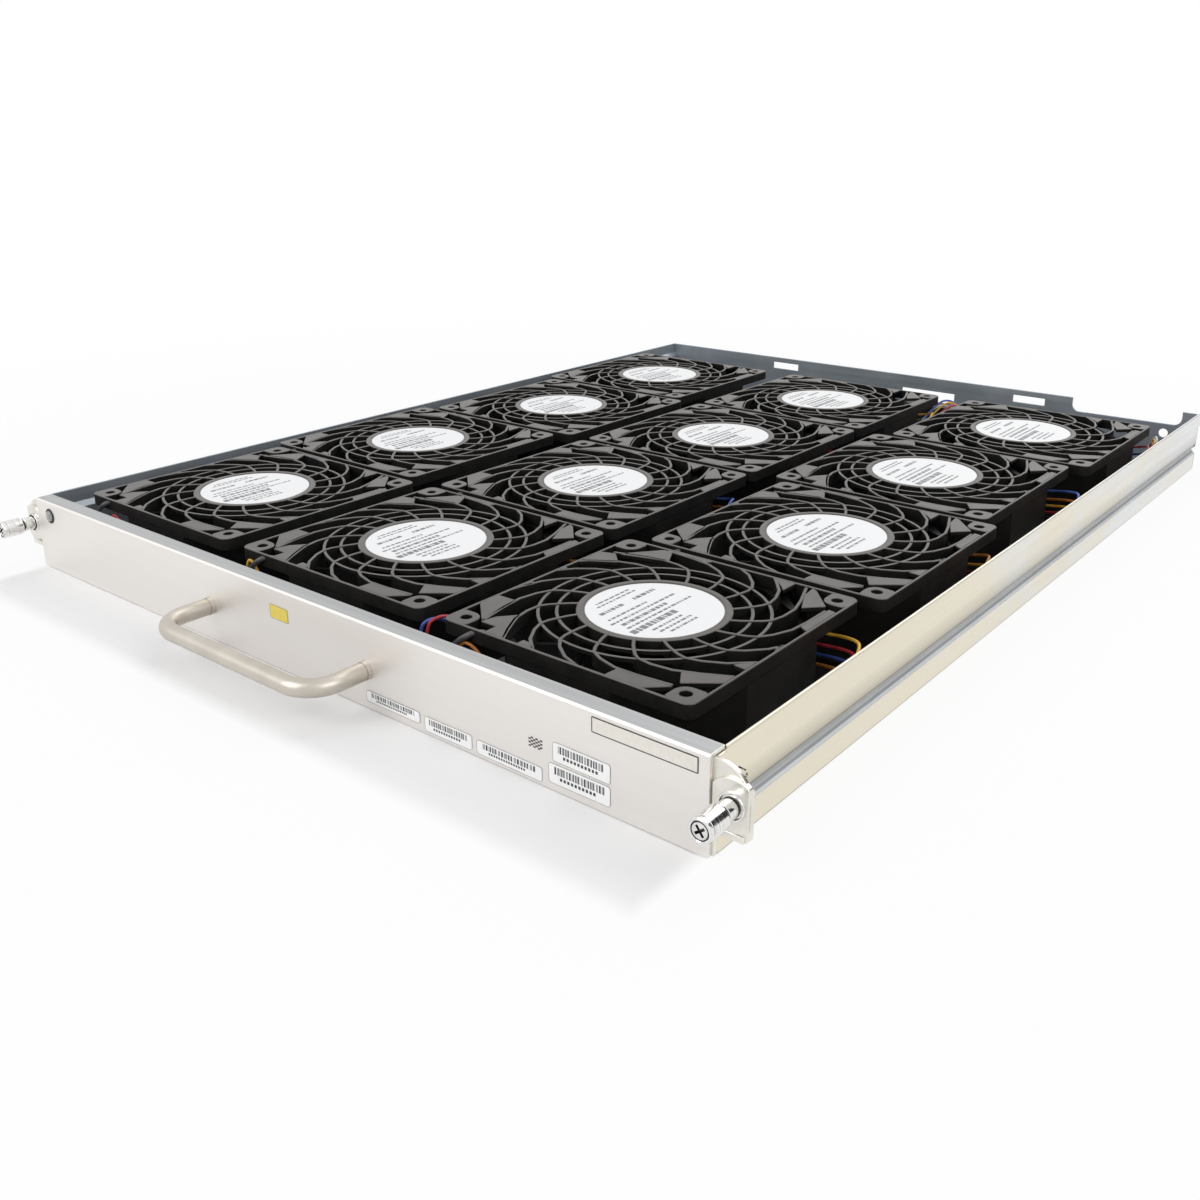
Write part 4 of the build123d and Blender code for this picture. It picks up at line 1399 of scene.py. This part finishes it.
for along, across, radius, height in can_places:
    begin()
    bpy.ops.mesh.primitive_cylinder_add(
        vertices=can_sides,
        radius=radius * MM,
        depth=height * MM,
        location=(along * MM, board_low.y + across * MM, board_high.z + height / 2 * MM),
    )
    bpy.ops.object.transform_apply(location=True, rotation=True, scale=True)
    round_edges(bpy.context.object, can_edge)
    cans.append(bpy.context.object)
join(cans)
board_cans = settle("board_cans")
dress(board_cans, zinc_plate)
pins = []
socket_x = (socket_low.x + socket_high.x) / 2
socket_z = (socket_low.z + socket_high.z) / 2
for column in range(pin_columns):
    for row in (-1, 1):
        x = socket_x + (column - (pin_columns - 1) / 2) * pin_pitch
        z = socket_z + row * pin_row
        tip = socket_high.y - pin_setback
        low = (x - pin_half, tip - pin_depth - pin_root, z - pin_half)
        pins.append(block(low, (x + pin_half, tip, z + pin_half)))
join(pins)
socket_pins = settle("socket_pins")
dress(socket_pins, mottled("pin_gold", 1.0, 0.25, 2 * MM, gold_dark, gold_light))
for piece, slot in ((board_chips, "board"), (board_cans, "board"), (socket_pins, "connector")):
    stand_for(piece, "chassis", slot)

# Studio: a white floor that keeps a faint shadow, and white surroundings. Both glow only for camera,
# mirror and glass rays, and the floor does not glow under the tray.
floor_size = 12
floor_drop = 0.2 * MM
under_margin = (14 * MM, 8 * MM)
under_edge = 0.97
near_glow = 0.86
far_glow = 1.0
fade_start = 0.42
fade_end = 0.85
begin()
bpy.ops.mesh.primitive_plane_add(size=floor_size, location=(0, 0, cad_low.z - floor_drop))
studio_floor = bpy.context.object
studio_floor.name = "studio_floor"


def seen_share(tree):
    """One for camera, mirror and glass rays, and nothing for the light that falls on the part."""
    rays = tree.nodes.new("ShaderNodeLightPath")
    total = rays.outputs["Is Camera Ray"]
    for kind in ("Is Glossy Ray", "Is Transmission Ray"):
        either = tree.nodes.new("ShaderNodeMath")
        either.operation = "MAXIMUM"
        tree.links.new(total, either.inputs[0])
        tree.links.new(rays.outputs[kind], either.inputs[1])
        total = either.outputs["Value"]
    return total


floor_white, tree, shader = finish_of("studio_white", 0.0, 0.9)
shader.inputs["Base Color"].default_value = (0.9, 0.9, 0.9, 1)
place = tree.nodes.new("ShaderNodeTexCoord")
distance = tree.nodes.new("ShaderNodeVectorMath")
distance.operation = "LENGTH"
fade = tree.nodes.new("ShaderNodeMapRange")
fade.inputs["From Min"].default_value = fade_start
fade.inputs["From Max"].default_value = fade_end
fade.inputs["To Min"].default_value = near_glow
fade.inputs["To Max"].default_value = far_glow
share = tree.nodes.new("ShaderNodeMath")
share.operation = "MULTIPLY"
glow = tree.nodes.new("ShaderNodeEmission")
glow.inputs["Strength"].default_value = 1.0
mix = tree.nodes.new("ShaderNodeMixShader")
covered = tree.nodes.new("ShaderNodeVectorMath")
covered.operation = "ABSOLUTE"
shrunk = tree.nodes.new("ShaderNodeVectorMath")
shrunk.operation = "DIVIDE"
shrunk.inputs[1].default_value = (cad_high.x - under_margin[0], cad_high.y - under_margin[1], 1)
parts = tree.nodes.new("ShaderNodeSeparateXYZ")
furthest = tree.nodes.new("ShaderNodeMath")
furthest.operation = "MAXIMUM"
uncovered = tree.nodes.new("ShaderNodeMapRange")
uncovered.inputs["From Min"].default_value = under_edge
uncovered.inputs["From Max"].default_value = 1.0
open_share = tree.nodes.new("ShaderNodeMath")
open_share.operation = "MULTIPLY"
tree.links.new(place.outputs["Object"], covered.inputs[0])
tree.links.new(covered.outputs["Vector"], shrunk.inputs[0])
tree.links.new(shrunk.outputs["Vector"], parts.inputs["Vector"])
tree.links.new(parts.outputs["X"], furthest.inputs[0])
tree.links.new(parts.outputs["Y"], furthest.inputs[1])
tree.links.new(furthest.outputs["Value"], uncovered.inputs["Value"])
tree.links.new(place.outputs["Object"], distance.inputs[0])
tree.links.new(distance.outputs["Value"], fade.inputs["Value"])
tree.links.new(fade.outputs["Result"], open_share.inputs[0])
tree.links.new(uncovered.outputs["Result"], open_share.inputs[1])
tree.links.new(open_share.outputs["Value"], share.inputs[0])
tree.links.new(seen_share(tree), share.inputs[1])
tree.links.new(share.outputs["Value"], mix.inputs["Fac"])
tree.links.new(shader.outputs["BSDF"], mix.inputs[1])
tree.links.new(glow.outputs["Emission"], mix.inputs[2])
tree.links.new(mix.outputs["Shader"], tree.nodes["Material Output"].inputs["Surface"])
dress(studio_floor, floor_white)
studio_floor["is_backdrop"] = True

world = bpy.data.worlds.new("studio")
bpy.context.scene.world = world
world.use_nodes = True
tree = world.node_tree
soft_sky = tree.nodes["Background"]
soft_sky.inputs["Color"].default_value = (0.97, 0.98, 1, 1)
soft_sky.inputs["Strength"].default_value = 0.6
seen_sky = tree.nodes.new("ShaderNodeBackground")
seen_sky.inputs["Strength"].default_value = 1.0
seen_sky.inputs["Color"].default_value = (1, 1, 1, 1)
mix = tree.nodes.new("ShaderNodeMixShader")
tree.links.new(seen_share(tree), mix.inputs["Fac"])
tree.links.new(soft_sky.outputs["Background"], mix.inputs[1])
tree.links.new(seen_sky.outputs["Background"], mix.inputs[2])
tree.links.new(mix.outputs["Shader"], tree.nodes["World Output"].inputs["Surface"])

# Dark card: a black board that stands behind and above the tray, out of the picture. Polished metal
# shows it as a dark streak, and it casts no shadow.
card_place = Vector((1.35, 2.15, 1.0))
card_width = 2.0
card_height = 1.7
begin()
bpy.ops.mesh.primitive_plane_add(size=1)
dark_card = bpy.context.object
dark_card.name = "dark_card"
dark_card.scale = (card_width, card_height, 1)
dark_card.rotation_euler = (-card_place).to_track_quat("Z", "Y").to_euler()
dark_card.location = card_place
card_black, tree, shader = finish_of("card_black", 0.0, 0.9)
shader.inputs["Base Color"].default_value = (0.03, 0.03, 0.032, 1)
shader.inputs["Specular IOR Level"].default_value = 0.1
dress(dark_card, card_black)
dark_card.visible_camera = False
dark_card.visible_diffuse = False
dark_card.visible_shadow = False
dark_card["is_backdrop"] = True

# Lamps and camera: three soft square lamps, and a camera that stands where the photograph was taken.
# Its lens is shifted to suit the photograph's crop.


def soft_lamp(name, place, target, size, power):
    """Square lamp that faces a target."""
    lamp = bpy.data.objects.new(name, bpy.data.lights.new(name, "AREA"))
    lamp.data.size = size
    lamp.data.energy = power
    lamp.location = place
    lamp.rotation_euler = (Vector(target) - Vector(place)).to_track_quat("-Z", "Y").to_euler()
    bpy.context.collection.objects.link(lamp)


soft_lamp("front_lamp", (-0.6, -1.6, 1.2), (0, -0.1, 0), 1.2, 11)
soft_lamp("right_lamp", (1.6, -0.3, 1.1), (0, 0, 0), 1.2, 7)
soft_lamp("rear_lamp", (0.2, 1.5, 1.6), (0, 0, 0), 1.6, 14)

camera_place = Vector((398.1, -544.45, 226.8)) * MM
camera_right = Vector((0.7745, 0.63256, -0.00472))
camera_up = Vector((-0.18829, 0.23766, 0.95292))
camera_back = Vector((0.6039, -0.73715, 0.30317))
camera = bpy.data.objects.new("camera", bpy.data.cameras.new("camera"))
camera.data.lens = 36
camera.data.sensor_width = 36
camera.data.shift_y = -0.0837
camera.data.clip_start = 0.01
turn = Matrix((camera_right, camera_up, camera_back)).transposed()
camera.matrix_world = Matrix.Translation(camera_place) @ turn.to_4x4()
bpy.context.collection.objects.link(camera)
bpy.context.scene.camera = camera
bpy.context.scene.view_settings.view_transform = "Standard"

# Size: the CAD part's box and the finished model's box, in metres.
low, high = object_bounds()
